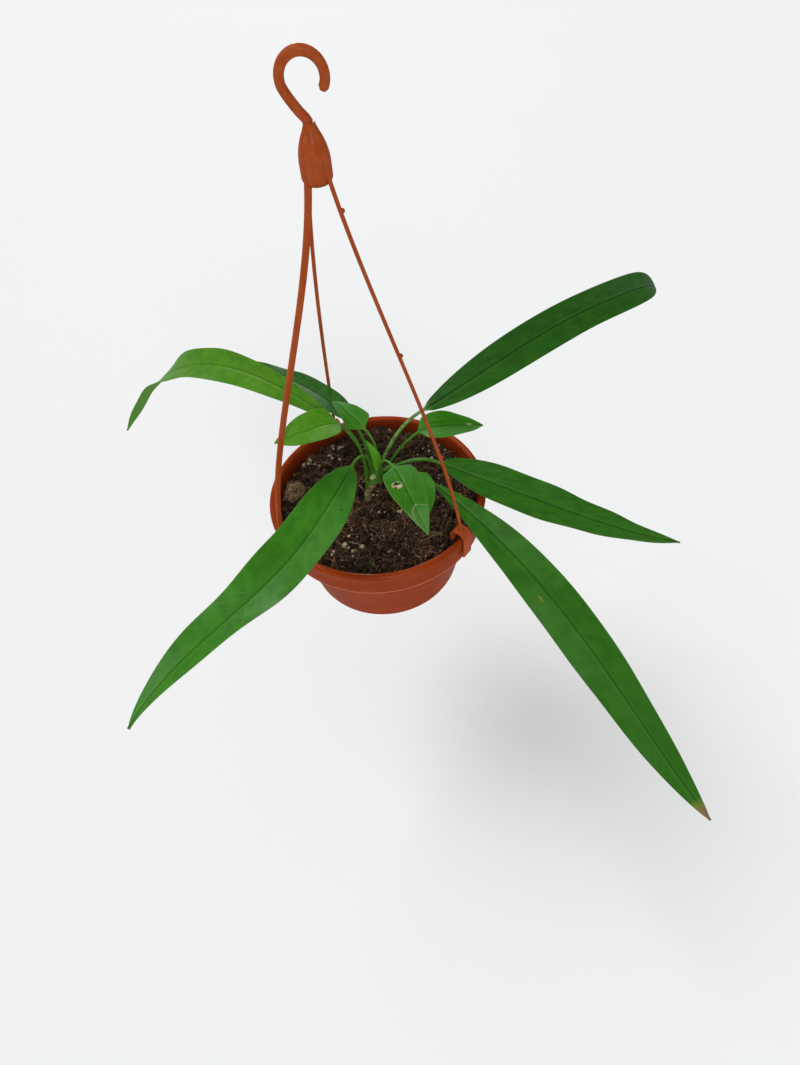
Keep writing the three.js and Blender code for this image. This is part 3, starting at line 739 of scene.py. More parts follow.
def vein_relief(offset, half, t, leaf):
    """The blade is puffed a little between side veins that leave the midrib at a slant."""
    spacing = YOUNG_VEINS if leaf["length"] < YOUNG_LENGTH else OLD_VEINS
    reach = np.abs(offset)
    drift = 0.6 * reach + 0.3 * reach ** 2 / half
    phase = (t * leaf["length"] - drift) / spacing + 0.5 * np.sign(offset)
    puff = np.abs(np.sin(math.pi * phase)) ** 0.6
    body = np.clip(reach / 3, 0, 1) * np.clip((half - reach) / 2.5, 0, 1)
    return 0.07 * (puff - 0.5) * body * np.sin(math.pi * np.clip(t, 0.02, 0.98)) ** 0.5


# %% Build a leaf
def across_places(count):
    """Places across a blade, closer together at the midrib and the margins."""
    u = np.linspace(-1, 1, count)
    return u - 0.08 * np.sin(2 * math.pi * u)


ROOT_RINGS = 10
# The sheathing base starts this far below the foot, and is drawn straight over its last part.
ROOT_DEPTH = 10.0
ROOT_PULL = 4.0
ACROSS_POINTS = 33
# The blade spreads from the round stalk to its full width over this length.
BLADE_ONSET = 9


def stalk_root(leaf, along, side, up, radius, count):
    """The stalk's sheathing base: it leaves the stem's middle lower down and swells on its way."""
    foot = np.array(leaf["foot"], float)
    start = stem_centre(foot[2] - ROOT_DEPTH)
    pull = start + np.array([0, 0, ROOT_PULL])
    v = np.linspace(0, 1, ROOT_RINGS + 1)[:-1, None]
    near = foot - along * ROOT_PULL
    line = start * (1 - v) ** 3 + pull * 3 * (1 - v) ** 2 * v + near * 3 * (1 - v) * v * v + foot * v ** 3
    thick = radius * (1 + 0.35 * (1 - v[:, 0]))
    tile = (ROOT_RINGS, 1)
    return circle_rings(line, np.tile(side, tile), np.tile(up, tile), thick, count)


def store_places(piece, leaf, across, blade_t, blade_share):
    """Keeps each vertex's place on its leaf for the finish: across, along, and which face."""
    count = 2 * len(across)
    rings = len(blade_t)
    s = np.concatenate([across, across[::-1]])
    store(piece, "across", np.tile(s, (rings, 1)))
    store(piece, "width", half_width(leaf, blade_t)[:, None] * s[None, :])
    store(piece, "along", np.repeat(blade_t, count))
    store(piece, "span", np.repeat(blade_t * leaf["length"], count))
    store(piece, "upper", np.tile(np.repeat([1.0, 0.0], len(across)), (rings, 1)))
    store(piece, "blade", np.repeat(blade_share, count))


def build_leaf(name, leaf, material):
    stalk_rings, spine_places = (36, 90) if leaf["length"] < YOUNG_LENGTH else (44, 240)
    across = across_places(ACROSS_POINTS)
    count = 2 * len(across)
    u = np.linspace(0, 1, stalk_rings)
    foot_line = stalk_line(leaf, u)
    along, side, up = stalk_frame(leaf, u)
    swell = STALK_SKIN * leaf["stalk_radius"] * (1 + 0.25 * (1 - u) ** 3)
    stalk = circle_rings(foot_line, side, up, swell, count)
    stalk = np.concatenate([stalk_root(leaf, along[0], side[0], up[0], swell[0], count), stalk])
    even = np.linspace(0, 1, spine_places)
    t = even - 0.09 * np.sin(2 * math.pi * even)
    spine = blade_line(leaf, foot_line[-1], t)
    side, up = blade_frame(leaf, t)[1:]
    stalk_size = np.full(len(t), STALK_SKIN * leaf["stalk_radius"])
    round_part = circle_rings(spine, side, up, stalk_size, count)
    rise = np.clip(t * leaf["length"] / BLADE_ONSET, 0, 1)
    spread = smoothstep(rise, 0, 1)[:, None, None]
    blade = round_part * (1 - spread) + blade_rings(leaf, t, spine, across) * spread
    points = np.concatenate([stalk, blade[1:]])
    piece = loft(name, points, material)
    stalk_part = np.zeros(ROOT_RINGS + len(u))
    blade_t = np.concatenate([stalk_part, t[1:]])
    store_places(piece, leaf, across, blade_t, np.concatenate([stalk_part, rise[1:]]))
    return piece


# %% [markdown]
# ## The finish of a leaf
#
# A leaf is satin above and dull and pale below. Its colour runs from the midrib outwards: a dark line in
# the groove, a softly mottled green field, side veins so faint that they show mostly as relief, and a thin
# pale rim. Small marks of age belong to single leaves: a dark spot, a yellow speck, a scar, a dry tip.
# All of that follows the surface, so the finish reads numbers that were stored on the mesh: how far
# across, how far along, and which face.

# %% Mix a leaf green
STALK_GREEN = ((0.042, 0.160, 0.007), (0.085, 0.245, 0.024))


class LeafFinish(Finish):
    """The green of one leaf, which marks can be laid over before it is finished."""

    def __init__(self, name, deep, field, light, gloss=0.40, spacing=OLD_VEINS, margin=0.25, fade=0.0,
                 stalk=STALK_GREEN, furrow=0.8, shine=0.26):
        super().__init__(name, IOR=1.42, Specular_IOR_Level=shine)
        self.across = self.attribute("across")
        self.width = self.attribute("width")
        self.along = self.attribute("along")
        self.span = self.attribute("span")
        self.blade = self.attribute("blade")
        reach = self.width.math("ABSOLUTE")
        edge = self.across.math("ABSOLUTE")

        blotches = self.noise(16.0, 3.0, 0.55)
        cells = self.noise(520.0, 4.0, 0.6)
        self.colour = self.mix(blotches.step(0.30, 0.70), deep, field)
        self.lay(cells.step(0.45, 0.75) * 0.16, light)
        if fade:
            self.lay(self.along.step(0.15, 1.0) * fade, deep)

        wobble = self.stray(55.0, 7.0, 2.0, 0.5)
        drift = reach * 0.8 + reach * reach / 40.0
        count = (self.span - drift + wobble) / spacing + self.width.math("SIGN") * 0.25
        away = ((count.math("FRACT") - 0.5).math("ABSOLUTE") * -2.0 + 1.0) * spacing * 0.5
        vein = away.fall(0.05, 0.9) * edge.fall(0.75, 0.92) * reach.step(1.5, 4.0) * self.blade
        self.lay(vein * 0.10, light)
        ridge = reach.near(1.6, 0.2, 1.2) * self.blade
        self.lay(ridge * 0.22, light)
        groove = reach.fall(0.15, 0.75) * self.blade
        self.lay(groove * furrow, tuple(0.5 * channel for channel in deep))
        rim = edge.step(0.965, 0.998) * self.blade
        self.lay(rim * margin, (0.26, 0.38, 0.08))

        stalk_tone = self.noise(45.0, 2.0, 0.5).step(0.35, 0.65)
        self.colour = self.mix(self.blade, self.mix(stalk_tone, *stalk), self.colour)
        under = (1 - self.attribute("upper")) * self.blade
        self.lay(under * 0.3, (0.09, 0.22, 0.03))
        self.rough = blotches * 0.10 + (gloss - 0.05) + under * 0.22 + cells * 0.06
        self.relief = cells * 0.20 - vein * 0.5 + blotches * 0.5

    def mark(self, colour, span, across, wide, long, soft=0.5, strength=1.0):
        """A spot at a place along and across the blade, in millimetres, ragged at its edge."""
        x = (self.width - across) / wide
        y = (self.span - span) / long
        away = (x * x + y * y) ** 0.5 + self.stray(700.0, 0.7)
        inside = away.fall(1.0 - soft, 1.0 + soft) * self.blade * strength
        self.lay(inside, colour)
        self.rough = self.rough + inside * 0.25

    def line_mark(self, colour, places, wide, strength):
        """A thin crooked line through places given along and across the blade, in millimetres."""
        nearest = 100.0
        for (span, width), (span_end, width_end) in zip(places, places[1:]):
            run, rise = span_end - span, width_end - width
            x = self.span - span
            y = self.width - width
            share = ((x * run + y * rise) / (run * run + rise * rise)).clamp()
            away = ((x - share * run) ** 2 + (y - share * rise) ** 2) ** 0.5
            nearest = away.math("MINIMUM", nearest)
        inside = (nearest + self.stray(300.0, 1.2)).fall(wide * 0.3, wide)
        broken = self.noise(420.0, 2.0, 0.5).step(0.34, 0.50)
        self.lay(inside * broken * self.blade * strength, colour)

    def pale_end(self, colour, start, strength):
        """A paler zone from a share of the length to the tip, strongest along the left margin."""
        zone = (self.along + self.stray(120.0, 0.2)).step(start, start + 0.12)
        left = (0 - self.across).step(0.62, 0.96)
        self.lay((zone * (left * 0.5 + 0.5)).clamp() * self.blade * strength, colour)

    def dry_tip(self, share):
        """The end of the blade, dead and brown, behind a narrow yellow zone."""
        place = self.along + self.stray(220.0, share * 0.7, 4.0, 0.65)
        self.lay(place.step(1 - share * 1.5, 1 - share) * 0.6, (0.20, 0.24, 0.04))
        self.lay(place.step(1 - share, 1 - share * 0.75), (0.22, 0.130, 0.060))
        self.rough = self.rough + self.along.step(1 - share, 1) * 0.3

    def wrinkle(self, depth):
        """Puckers on the front half of the blade, towards its tip."""
        puckers = self.noise(85.0, 3.0, 0.55, at=self.stretched(0.7, 1.6, 1.0))
        where = self.along.step(0.30, 0.50) * self.along.fall(0.85, 0.95)
        self.relief = self.relief + puckers * where * (0 - self.width).step(1.0, 5.0) * depth

    def done(self):
        return self.wear(self.rough.clamp(), self.relief, 0.30, 0.0006)


MARK_PALE = (0.42, 0.44, 0.26)
MARK_TAN = (0.46, 0.37, 0.23)
MARK_DARK = (0.050, 0.030, 0.012)
dark_green = ((0.010, 0.078, 0.002), (0.020, 0.112, 0.004), (0.040, 0.170, 0.012))
mid_green = ((0.020, 0.115, 0.003), (0.034, 0.162, 0.006), (0.058, 0.225, 0.018))
clear_green = ((0.026, 0.155, 0.003), (0.042, 0.210, 0.007), (0.070, 0.265, 0.020))
fresh_green = ((0.055, 0.205, 0.004), (0.085, 0.265, 0.007), (0.125, 0.320, 0.018))

front_left = LeafFinish("leaf_green_front", *clear_green, furrow=0.75)
front_left.mark((0.010, 0.050, 0.005), 41.5, 10.9, 0.9, 0.9)
long_leaf = LeafFinish("leaf_green_long", *mid_green, fade=0.7)
long_leaf.mark((0.26, 0.34, 0.03), 124, -6.8, 1.1, 2.8, soft=0.8, strength=0.40)
long_leaf.dry_tip(0.035)
right_leaf = LeafFinish("leaf_green_right", *mid_green)
right_leaf.wrinkle(2.5)
right_leaf.dry_tip(0.008)
young_right = LeafFinish("young_green_right", *clear_green, spacing=YOUNG_VEINS, furrow=0.6, shine=0.15)
young_right.mark(MARK_PALE, 45.4, 0.9, 0.8, 2.2, strength=0.8)
nibbled = LeafFinish("young_green_front", *clear_green, spacing=YOUNG_VEINS, margin=0.6, furrow=0.7)
nibbled.pale_end((0.150, 0.350, 0.085), 0.62, 0.85)
nibbled.line_mark(MARK_PALE, [(46.5, -6.2), (40.8, -4.8), (37.3, 1.4)], 0.75, 0.6)
nibbled.line_mark(MARK_PALE, [(37.3, 1.4), (41.6, 9.6)], 0.6, 0.35)
nibbled.mark(MARK_TAN, 19.4, -5.2, 4.3, 2.9, soft=0.15)
nibbled.mark(MARK_DARK, 21.3, -7.4, 1.1, 0.8, soft=0.3)
nibbled.mark((0.62, 0.58, 0.44), 20.9, -3.8, 1.6, 0.6, soft=0.3)

leaf_looks = {
    "leaf_front_left": front_left,
    "leaf_front_right": long_leaf,
    "leaf_right": right_leaf,
    # The back right leaf's stalk mixes its dark green with a paler green in random patches: the paler green
    # is a painted highlight.
    "leaf_back_right": LeafFinish("leaf_green_back", *dark_green, gloss=0.45, shine=0.22,
                                  stalk=((0.075, 0.200, 0.025), (0.200, 0.360, 0.110))),
    "leaf_left_arching": LeafFinish("leaf_green_arching", *fresh_green, gloss=0.45, furrow=0.3),
    # The shaded leaf takes the darkest green: its darkness is painted shade.
    "leaf_back_left": LeafFinish("leaf_green_shaded", *dark_green, gloss=0.42, furrow=0.2, shine=0.12),
    "young_leaf_left": LeafFinish("young_green_left", *fresh_green, spacing=YOUNG_VEINS, furrow=0.3,
                                  shine=0.15),
    "young_leaf_right": young_right,
    "young_leaf_front": nibbled,
    "young_leaf_front_right": LeafFinish("young_green_low", *clear_green, spacing=YOUNG_VEINS),
    "young_leaf_back": LeafFinish("young_green_back", *clear_green, spacing=YOUNG_VEINS),
}

# %% [markdown]
# One young leaf has been nibbled: a small ragged hole goes through it, and a real cut lets the soil show.

# %% Cut the hole
# The hole's place along and across the blade, as in the solid. Dried shreds leave less of it open.
HOLE = dict(along=0.3, across=-5, wide=2.1, long=1.0)


def nibble(piece, leaf):
    blade_start = stalk_line(leaf, np.linspace(0, 1, 36))[-1]
    centre = blade_line(leaf, blade_start, np.linspace(0, HOLE["along"], 30))[-1]
    along, side, up = (axis[0] for axis in blade_frame(leaf, np.array([HOLE["along"]])))
    turn = turns(40)
    ragged = 1 + 0.24 * np.sin(3 * turn + 0.6) + 0.16 * np.sin(5 * turn) + 0.10 * np.sin(9 * turn)
    across = (HOLE["across"] + HOLE["wide"] * ragged * np.cos(turn))[:, None] * side
    further = (HOLE["long"] * ragged * np.sin(turn))[:, None] * along
    rings = np.array([centre + across + further + up * lift for lift in (-6, 8)])
    cutter = point_outwards(loft("hole_cutter", rings, None))
    cut = piece.modifiers.new("hole", "BOOLEAN")
    cut.operation = "DIFFERENCE"
    cut.solver = "EXACT"
    cut.object = cutter
    apply_modifiers(piece)
    bpy.data.objects.remove(cutter)


# %% Grow all the leaves
for name, leaf in LEAVES.items():
    leaf_piece = build_leaf(name + "_blade", leaf, leaf_looks[name].done())
    if name == "young_leaf_front":
        nibble(leaf_piece, leaf)
    slot = "young_leaf" if leaf["length"] < YOUNG_LENGTH else "leaf"
    settle(leaf_piece, slot, name)

# %% [markdown]
# ## Stem
#
# The old stem is thin and knobbly where it leaves the soil: each knob is the scar of a lost leaf. It
# leans, thickens and turns green towards the crown, and carries a few small buds, pale high up and
# pinkish lower down. A skin modifier would give soft blobs, so the stem is lofted from rings, and the
# knobs and buds are part of the radius.

# %% Loft the stem
STEM_FOOT = 74.5
STEM_RADIUS = 2.3
CROWN_RADIUS = 4.2
# How fast knob follows knob up the stem, in radians for each millimetre.
KNOB_RATE = 1.15
# Each bud: height, direction in degrees, size, and how far it stands out, in millimetres.
BUDS = [(117.0, -152, 2.5, 2.9), (113.5, -165, 1.2, 1.3), (106.5, -80, 2.2, 1.4), (100.5, -120, 1.5, 0.9),
        (96.5, -60, 1.4, 0.8)]


def stem_radius(z):
    height = (z - SOIL_LEVEL) / (CROWN_TOP - SOIL_LEVEL)
    saw = (z * KNOB_RATE / (2 * math.pi) - 0.1) % 1
    knobs = 0.4 * np.sin(z * KNOB_RATE) + 0.22 * np.exp(-((saw - 0.32) / 0.07) ** 2)
    shoulder = smoothstep(height, 0.25, 0.72) * (CROWN_RADIUS - STEM_RADIUS)
    closing = 1 - 0.55 * smoothstep(height, 0.86, 1.0)
    return np.where(height < 0, STEM_RADIUS * 0.95, (STEM_RADIUS + knobs + shoulder) * closing)


def build_stem(material):
    rings, count = 170, 56
    z = np.linspace(STEM_FOOT, CROWN_TOP, rings)
    angle = turns(count)
    centre = stem_centre(z)[:, None]
    radius = np.repeat(stem_radius(z)[:, None], count, 1)
    bud_mask = np.zeros_like(radius)
    for height, direction, size, stand in BUDS:
        turn = (angle - math.radians(direction) + math.pi) % (2 * math.pi) - math.pi
        away = np.hypot((z[:, None] - height), turn[None, :] * radius) / size
        bump = np.sqrt(np.clip(1 - away ** 2, 0, 1))
        radius = radius + stand * bump
        bud_mask = np.maximum(bud_mask, np.clip(bump * 2, 0, 1))
    points = np.empty((rings, count, 3))
    for i in range(rings):
        for j in range(count):
            probe = Vector((math.cos(angle[j]) * 0.9, math.sin(angle[j]) * 0.9, z[i] * 0.16))
            rough = 0.35 * noise.noise(probe * 1.6) + 0.16 * noise.noise(probe * 5.0)
            points[i, j] = centre[i, 0]
            points[i, j, 0] += (radius[i, j] + rough) * math.cos(angle[j])
            points[i, j, 1] += (radius[i, j] + rough) * math.sin(angle[j])
    piece = loft("stem_skin", points, material)
    store(piece, "bud", bud_mask)
    return piece


def stem_finish():
    finish = Finish("stem_bark", IOR=1.45, Specular_IOR_Level=0.3)
    z = finish.axes()[2]
    bud = finish.attribute("bud")
    patches = finish.noise(190.0, 3.0, 0.6)
    fine = finish.noise(900.0, 4.0, 0.7)
    height = z + (patches - 0.5) * 0.010
    bark = finish.mix(fine.step(0.40, 0.60), (0.070, 0.042, 0.016), (0.400, 0.330, 0.150))
    green = finish.mix(patches.step(0.35, 0.65), (0.055, 0.210, 0.010), (0.120, 0.340, 0.024))
    finish.colour = finish.mix(height.step(0.103, 0.112), bark, green)
    scar = (z * (KNOB_RATE / MM / (2 * math.pi)) - 0.1).math("FRACT").near(0.32, 0.04, 0.10)
    finish.lay(scar * 0.35, (0.240, 0.170, 0.080))
    pinkish = z.near(0.1065, 0.0015, 0.0030)
    finish.lay(bud * z.step(0.109, 0.111), (0.440, 0.480, 0.210))
    finish.lay(pinkish * bud, (0.300, 0.150, 0.085))
    return finish.wear(fine * 0.2 + 0.5, fine + patches, 0.5, 0.0005)


settle(build_stem(stem_finish()), "stem", "stem")

# %% [markdown]
# ## Sheath and bract
#
# The next leaf is still rolled inside a bright green sheath, a thin pointed sleeve with a keel and one
# overlapping seam. A small yellow-green scale stands beside it. Both are lofts of folded sections.

# %% Loft the scales
SCALES = {
    "sheath": dict(
        foot=(3.2, -0.8, CROWN_TOP - 2), tip=(-4, -1, CROWN_TOP + 33), width=7.5, thickness=3.4, bow=2.4,
        colours=((0.220, 0.500, 0.022), (0.095, 0.370, 0.011), (0.045, 0.230, 0.006)), gloss=0.36),
    "bract": dict(
        foot=(7.4, -2.4, CROWN_TOP - 1.5), tip=(17, -5, CROWN_TOP + 9), width=4.6, thickness=2.4, bow=1.2,
        colours=((0.120, 0.360, 0.018), (0.160, 0.380, 0.030), (0.300, 0.360, 0.110)), gloss=0.45),
}


def build_scale(name, scale, material):
    foot, tip = np.array(scale["foot"], float), np.array(scale["tip"], float)
    run = tip - foot
    side = np.array([run[2], 0, -run[0]])
    side = side / np.linalg.norm(side)
    up = np.cross(run, side)
    up = up / np.linalg.norm(up)
    rings, count = 60, 48
    u = np.linspace(0, 1, rings)
    angle = turns(count)
    swell = np.maximum(np.sin(math.pi * (0.18 + 0.82 * u) ** 0.85), 0.06)[:, None]
    ribs = 1 + 0.035 * np.cos(14 * angle)[None, :] * np.sin(math.pi * u)[:, None]
    seam = 1 - 0.20 * np.exp(-((angle - 1.75 * math.pi) / 0.10) ** 2)[None, :] * swell
    keel = 1 + 0.16 * np.exp(-((angle - 1.25 * math.pi) / 0.16) ** 2)[None, :] * swell
    shape = swell * ribs * seam * keel
    centre = foot + run * u[:, None] + side * (scale["bow"] * np.sin(math.pi * u))[:, None]
    across = (scale["width"] / 2 * np.cos(angle))[None, :] * shape
    deep = (scale["thickness"] / 2 * np.sin(angle))[None, :] * shape
    points = centre[:, None] + side * across[:, :, None] + up * deep[:, :, None]
    piece = loft(name + "_skin", points, material)
    store(piece, "height", np.repeat(u, count))
    store(piece, "round", np.tile(angle, rings))
    return point_outwards(piece)


def scale_finish(name, foot_colour, body, tip_colour, gloss):
    finish = Finish(name, IOR=1.45, Coat_Weight=0.1, Coat_Roughness=0.25)
    height = finish.attribute("height")
    around = finish.attribute("round")
    soft = finish.noise(170.0, 3.0, 0.55)
    finish.colour = finish.mix(height.step(0.0, 0.45), foot_colour, body)
    finish.lay((height + (soft - 0.5) * 0.2).step(0.82, 1.0), tip_colour)
    lines = ((around * 14.0).math("COSINE") * 0.5 + 0.5) * soft
    finish.lay(lines * 0.3, body)
    return finish.wear(soft * 0.15 + gloss, lines + soft * 0.5, 0.3, 0.0004)


for name, scale in SCALES.items():
    look = scale_finish(name + "_green", *scale["colours"], scale["gloss"])
    settle(build_scale(name, scale, look), name, name)

# %% [markdown]
# ## Soil
#
# The filling is dark fibrous peat. One displaced sheet would look like a cloth, so it is built up as in
# the pot: a lumpy bed, then thousands of loose crumbs, pale grains of perlite, a web of fine coir
# fibres, a dome of dry tan moss by the left wall and a few green cushions of living moss.

# %% The bed of peat
CLUMP = dict(x=-73.0, y=17.0, radius=10.0, height=4.0)
CLEARANCE = 0.3
SIDE_CLEARANCE = 0.5
TOP_CLEARANCE = 0.15


def soil_relief(x, y):
    lumps = (1.1 * math.sin(0.11 * x + 0.5) * math.sin(0.13 * y + 1.1)
             + 0.7 * math.sin(0.29 * x + 0.21 * y) + 0.5 * math.sin(0.47 * y - 0.33 * x + 2.0))
    away = ((x - CLUMP["x"]) ** 2 + (y - CLUMP["y"]) ** 2) / CLUMP["radius"] ** 2
    return lumps + CLUMP["height"] * math.exp(-away)


def crumble(x, y):
    """Small lumps and pits of loose peat, in millimetres."""
    coarse = noise.noise(Vector((x * 0.16, y * 0.16, 3.1)))
    middle = noise.noise(Vector((x * 0.42, y * 0.42, 7.7)))
    fine = noise.noise(Vector((x * 1.1, y * 1.1, 1.3)))
    return 2.4 * coarse + 1.8 * middle + 0.7 * fine


def heap(x, y):
    """Soil that has been pushed up against the back wall."""
    return 6.0 * math.exp(-((x - 6) / 15) ** 2 - ((y - 84) / 9) ** 2)


def build_bed(material):
    rings, sectors = 96, 300
    edge = inner_radius(SOIL_LEVEL) - TOP_CLEARANCE
    points = [(0, 0, SOIL_LEVEL + soil_relief(0, 0))]
    for i in range(1, rings + 1):
        share = i / rings
        settle_down = 1 - 0.75 * smoothstep(share, 0.85, 1)
        for angle in turns(sectors):
            x, y = edge * share * math.cos(angle), edge * share * math.sin(angle)
            height = soil_relief(x, y) * settle_down + crumble(x, y) * (1 - 0.5 * share ** 8) + heap(x, y)
            points.append((x, y, SOIL_LEVEL + height))
    for radius, z in corner(WALL, WALL, (1.0, 0.66, 0.33, 0.0)):
        radius -= SIDE_CLEARANCE
        for angle in turns(sectors):
            points.append((radius * math.cos(angle), radius * math.sin(angle), z + CLEARANCE))
    total = rings + 4
    faces = [(0, 1 + j, 1 + (j + 1) % sectors) for j in range(sectors)]
    for ring in range(total - 1):
        for j in range(sectors):
            a, b = 1 + ring * sectors + j, 1 + ring * sectors + (j + 1) % sectors
            faces.append((a, a + sectors, b + sectors, b))
    faces.append(tuple(1 + (total - 1) * sectors + j for j in reversed(range(sectors))))
    return mesh_piece("peat_bed", points, faces, material)


def peat_finish(name, dark, mid, pale):
    """tone picks a clod's own colour, from near black to reddish brown. Pits are darker as painted shade,
    and crests paler as painted light.
    """
    finish = Finish(name, Specular_IOR_Level=0.2)
    tone = finish.attribute("tone")
    lit_crest = (finish.axes()[2] - SOIL_LEVEL * MM).step(-0.0035, 0.0025)
    wide = finish.noise(24.0, 2.0, 0.5).step(0.38, 0.58)
    patches = finish.noise(75.0, 3.0, 0.6).step(0.42, 0.58)
    middle = finish.noise(230.0, 3.0, 0.6).step(0.40, 0.62)
    crumbs = finish.noise(800.0, 5.0, 0.7)
    threads = finish.noise(1000.0, 3.0, 0.6, at=finish.stretched(1, 0.2, 0.6))
    finish.colour = finish.mix(crumbs.step(0.36, 0.60), dark, mid)
    lift = (patches * (wide * 0.7 + 0.1) + middle * 0.35 + tone.step(0.45, 1.0) * 0.6).clamp()
    lift = lift * crumbs.step(0.42, 0.60)
    # Painted light: the pale patches and threads show most on the crests.
    finish.lay(lift * (lit_crest * 0.8 + 0.2), pale)
    finish.lay(threads.step(0.58, 0.64) * lit_crest * 0.8, (0.300, 0.190, 0.100))
    # Painted shade darkens the pits; the rest of this darkening is a random tone.
    finish.lay((1 - lit_crest) * 0.6 + (1 - middle) * (1 - wide) * 0.4, dark)
    return finish.wear(crumbs * 0.2 + 0.75, crumbs + threads * 0.5, 0.9, 0.0012)


peat = peat_finish("dark_peat", (0.0020, 0.0010, 0.0004), (0.022, 0.011, 0.005), (0.250, 0.116, 0.056))
bed = build_bed(peat)
store(bed, "tone", np.zeros(len(bed.data.vertices)))


# %% Soil that crumbs can lie on
# Nothing is strewn farther out than this, so that no crumb pierces the wall, nor on the bed's sides.
STREWN_RADIUS = 80.5
STREWN_DEPTH = 5


def patch_of_soil(name, centre, radius):
    """A copy of the bed's top within a radius of a centre, for a recipe to strew."""
    scraps = bmesh.new()
    scraps.from_mesh(bed.data)
    floor = (SOIL_LEVEL - STREWN_DEPTH) * MM
    middle = Vector(centre) * MM
    drop = []
    for face in scraps.faces:
        place = face.calc_center_median()
        beyond = (place.xy - middle).length > radius * MM or place.xy.length > STREWN_RADIUS * MM
        if place.z < floor or beyond:
            drop.append(face)
    bmesh.ops.delete(scraps, geom=drop, context="FACES")
    mesh = bpy.data.meshes.new(name)
    scraps.to_mesh(mesh)
    scraps.free()
    return placed(name, mesh)


# %% [markdown]
# A strewing recipe scatters points on a patch of soil, puts a lump on each, and gives it a random size,
# turn and tone. A crumb is an icosphere of twenty faces with its corners pushed about, so that thousands
# of them stay light. Clods and grains, which are fewer and larger, have finer ones.

# %% Strew lumps
def strewing_recipe(name, material, roughness=0.35, subdivisions=1):
    recipe = Recipe(name, Density=1000.0, Small=0.0004, Large=0.0012, Sink=0.0002, Flat=0.7, Seed=1)
    size = recipe.sizes
    lump = recipe.make("MeshIcoSphere", Radius=1.0, Subdivisions=subdivisions)
    turn = recipe.random((0, 0, 0), (6.283, 6.283, 6.283), size["Seed"] + 1, vector=True)
    share = recipe.random(0.0, 1.0, size["Seed"] + 2)
    radius = size["Small"] + (size["Large"] - size["Small"]) * share * share
    flat = recipe.random(size["Flat"], 1.0, size["Seed"] + 3)
    scale = recipe.node("ShaderNodeCombineXYZ", {}, [radius, radius * flat, radius * flat])
    lumps = recipe.toned_copies(recipe.strewn_points(size["Density"]), lump, turn, scale)
    place = recipe.make("InputPosition")
    inputs = {"Vector": place, "Scale": 700.0, "Detail": 3.0}
    jag = recipe.node("ShaderNodeTexNoise", {}, inputs, out=1)
    shift = recipe.vector("SUBTRACT", jag, (0.5, 0.5, 0.5))
    rough = recipe.moved(lumps, recipe.vector("SCALE", shift, size["Large"] * roughness * 2.0))
    down = recipe.node("ShaderNodeCombineXYZ", {}, [0.0, 0.0, size["Sink"] * -1.0])
    return recipe.finish(recipe.moved(rough, down), material)


def strew(recipe, name, centre=(0, 0), radius=82.0, **sizes):
    settle(recipe.cook(patch_of_soil(name, centre, radius), **sizes), "soil")


crumbs = strewing_recipe("strew_crumbs", peat)
clods = strewing_recipe("strew_clods", peat, 0.55, 3)
settle(bed, "soil", "soil")
strew(crumbs, "peat_crumbs", Density=300000.0, Small=0.00030, Large=0.0013, Seed=11)
strew(crumbs, "peat_lumps", Density=22000.0, Small=0.0011, Large=0.0028, Sink=0.0006, Seed=23)
strew(clods, "peat_clods", radius=77.0, Density=12000.0, Small=0.0014, Large=0.0042, Sink=-0.0007, Seed=29)

# %% [markdown]
# Perlite is a white expanded mineral that comes out cream once it has lain in peat. Its grains lie in
# loose groups, with odd ones between, and a few brown and pinkish pebbles of bark lie among them.

# %% Strew perlite and bark
def grain_finish(name, pale, stained):
    finish = Finish(name, Specular_IOR_Level=0.3)
    tone = finish.attribute("tone")
    stain = finish.noise(600.0, 4.0, 0.65)
    finish.colour = finish.mix((stain.step(0.35, 0.75) * 0.7 + tone * 0.3).clamp(), pale, stained)
    return finish.wear(stain * 0.2 + 0.7, stain, 0.7, 0.0006)


perlite_look = grain_finish("perlite_grain", (0.62, 0.52, 0.34), (0.30, 0.21, 0.11))
bark_look = grain_finish("bark_pebble", (0.22, 0.13, 0.085), (0.09, 0.05, 0.03))
perlite = strewing_recipe("strew_perlite", perlite_look, 0.22, 2)
bark = strewing_recipe("strew_bark", bark_look, 0.22, 2)

# Groups of grains: centre x, y, radius of the group in mm, grains for each square metre, seed.
GRAIN_GROUPS = [
    (-33, 67, 6, 24000, 3), (-60, 50, 6, 34000, 5), (-46, 48, 16, 5500, 7), (-24, -46, 12, 11000, 9),
    (63, 40, 8, 28000, 12), (50, 52, 12, 9000, 13), (-44, -55, 6, 16000, 17), (12, -12, 26, 2500, 19),
]
for number, (x, y, radius, density, seed) in enumerate(GRAIN_GROUPS):
    strew(perlite, f"perlite_group_{number + 1}", (x, y), radius, Density=float(density),
          Small=0.0010, Large=0.0026, Sink=-0.0008, Seed=seed)
strew(perlite, "perlite_dust", Density=14000.0, Small=0.00025, Large=0.00090, Sink=-0.0006, Seed=31)
strew(bark, "bark_pebbles", Density=2600.0, Small=0.0008, Large=0.0022, Sink=0.0, Seed=37)

# %% [markdown]
# Coir fibres are fine brown threads up to a few centimetres long. Each is a curve: a straight line that
# noise bends, laid flat on the soil and given a three-sided section.

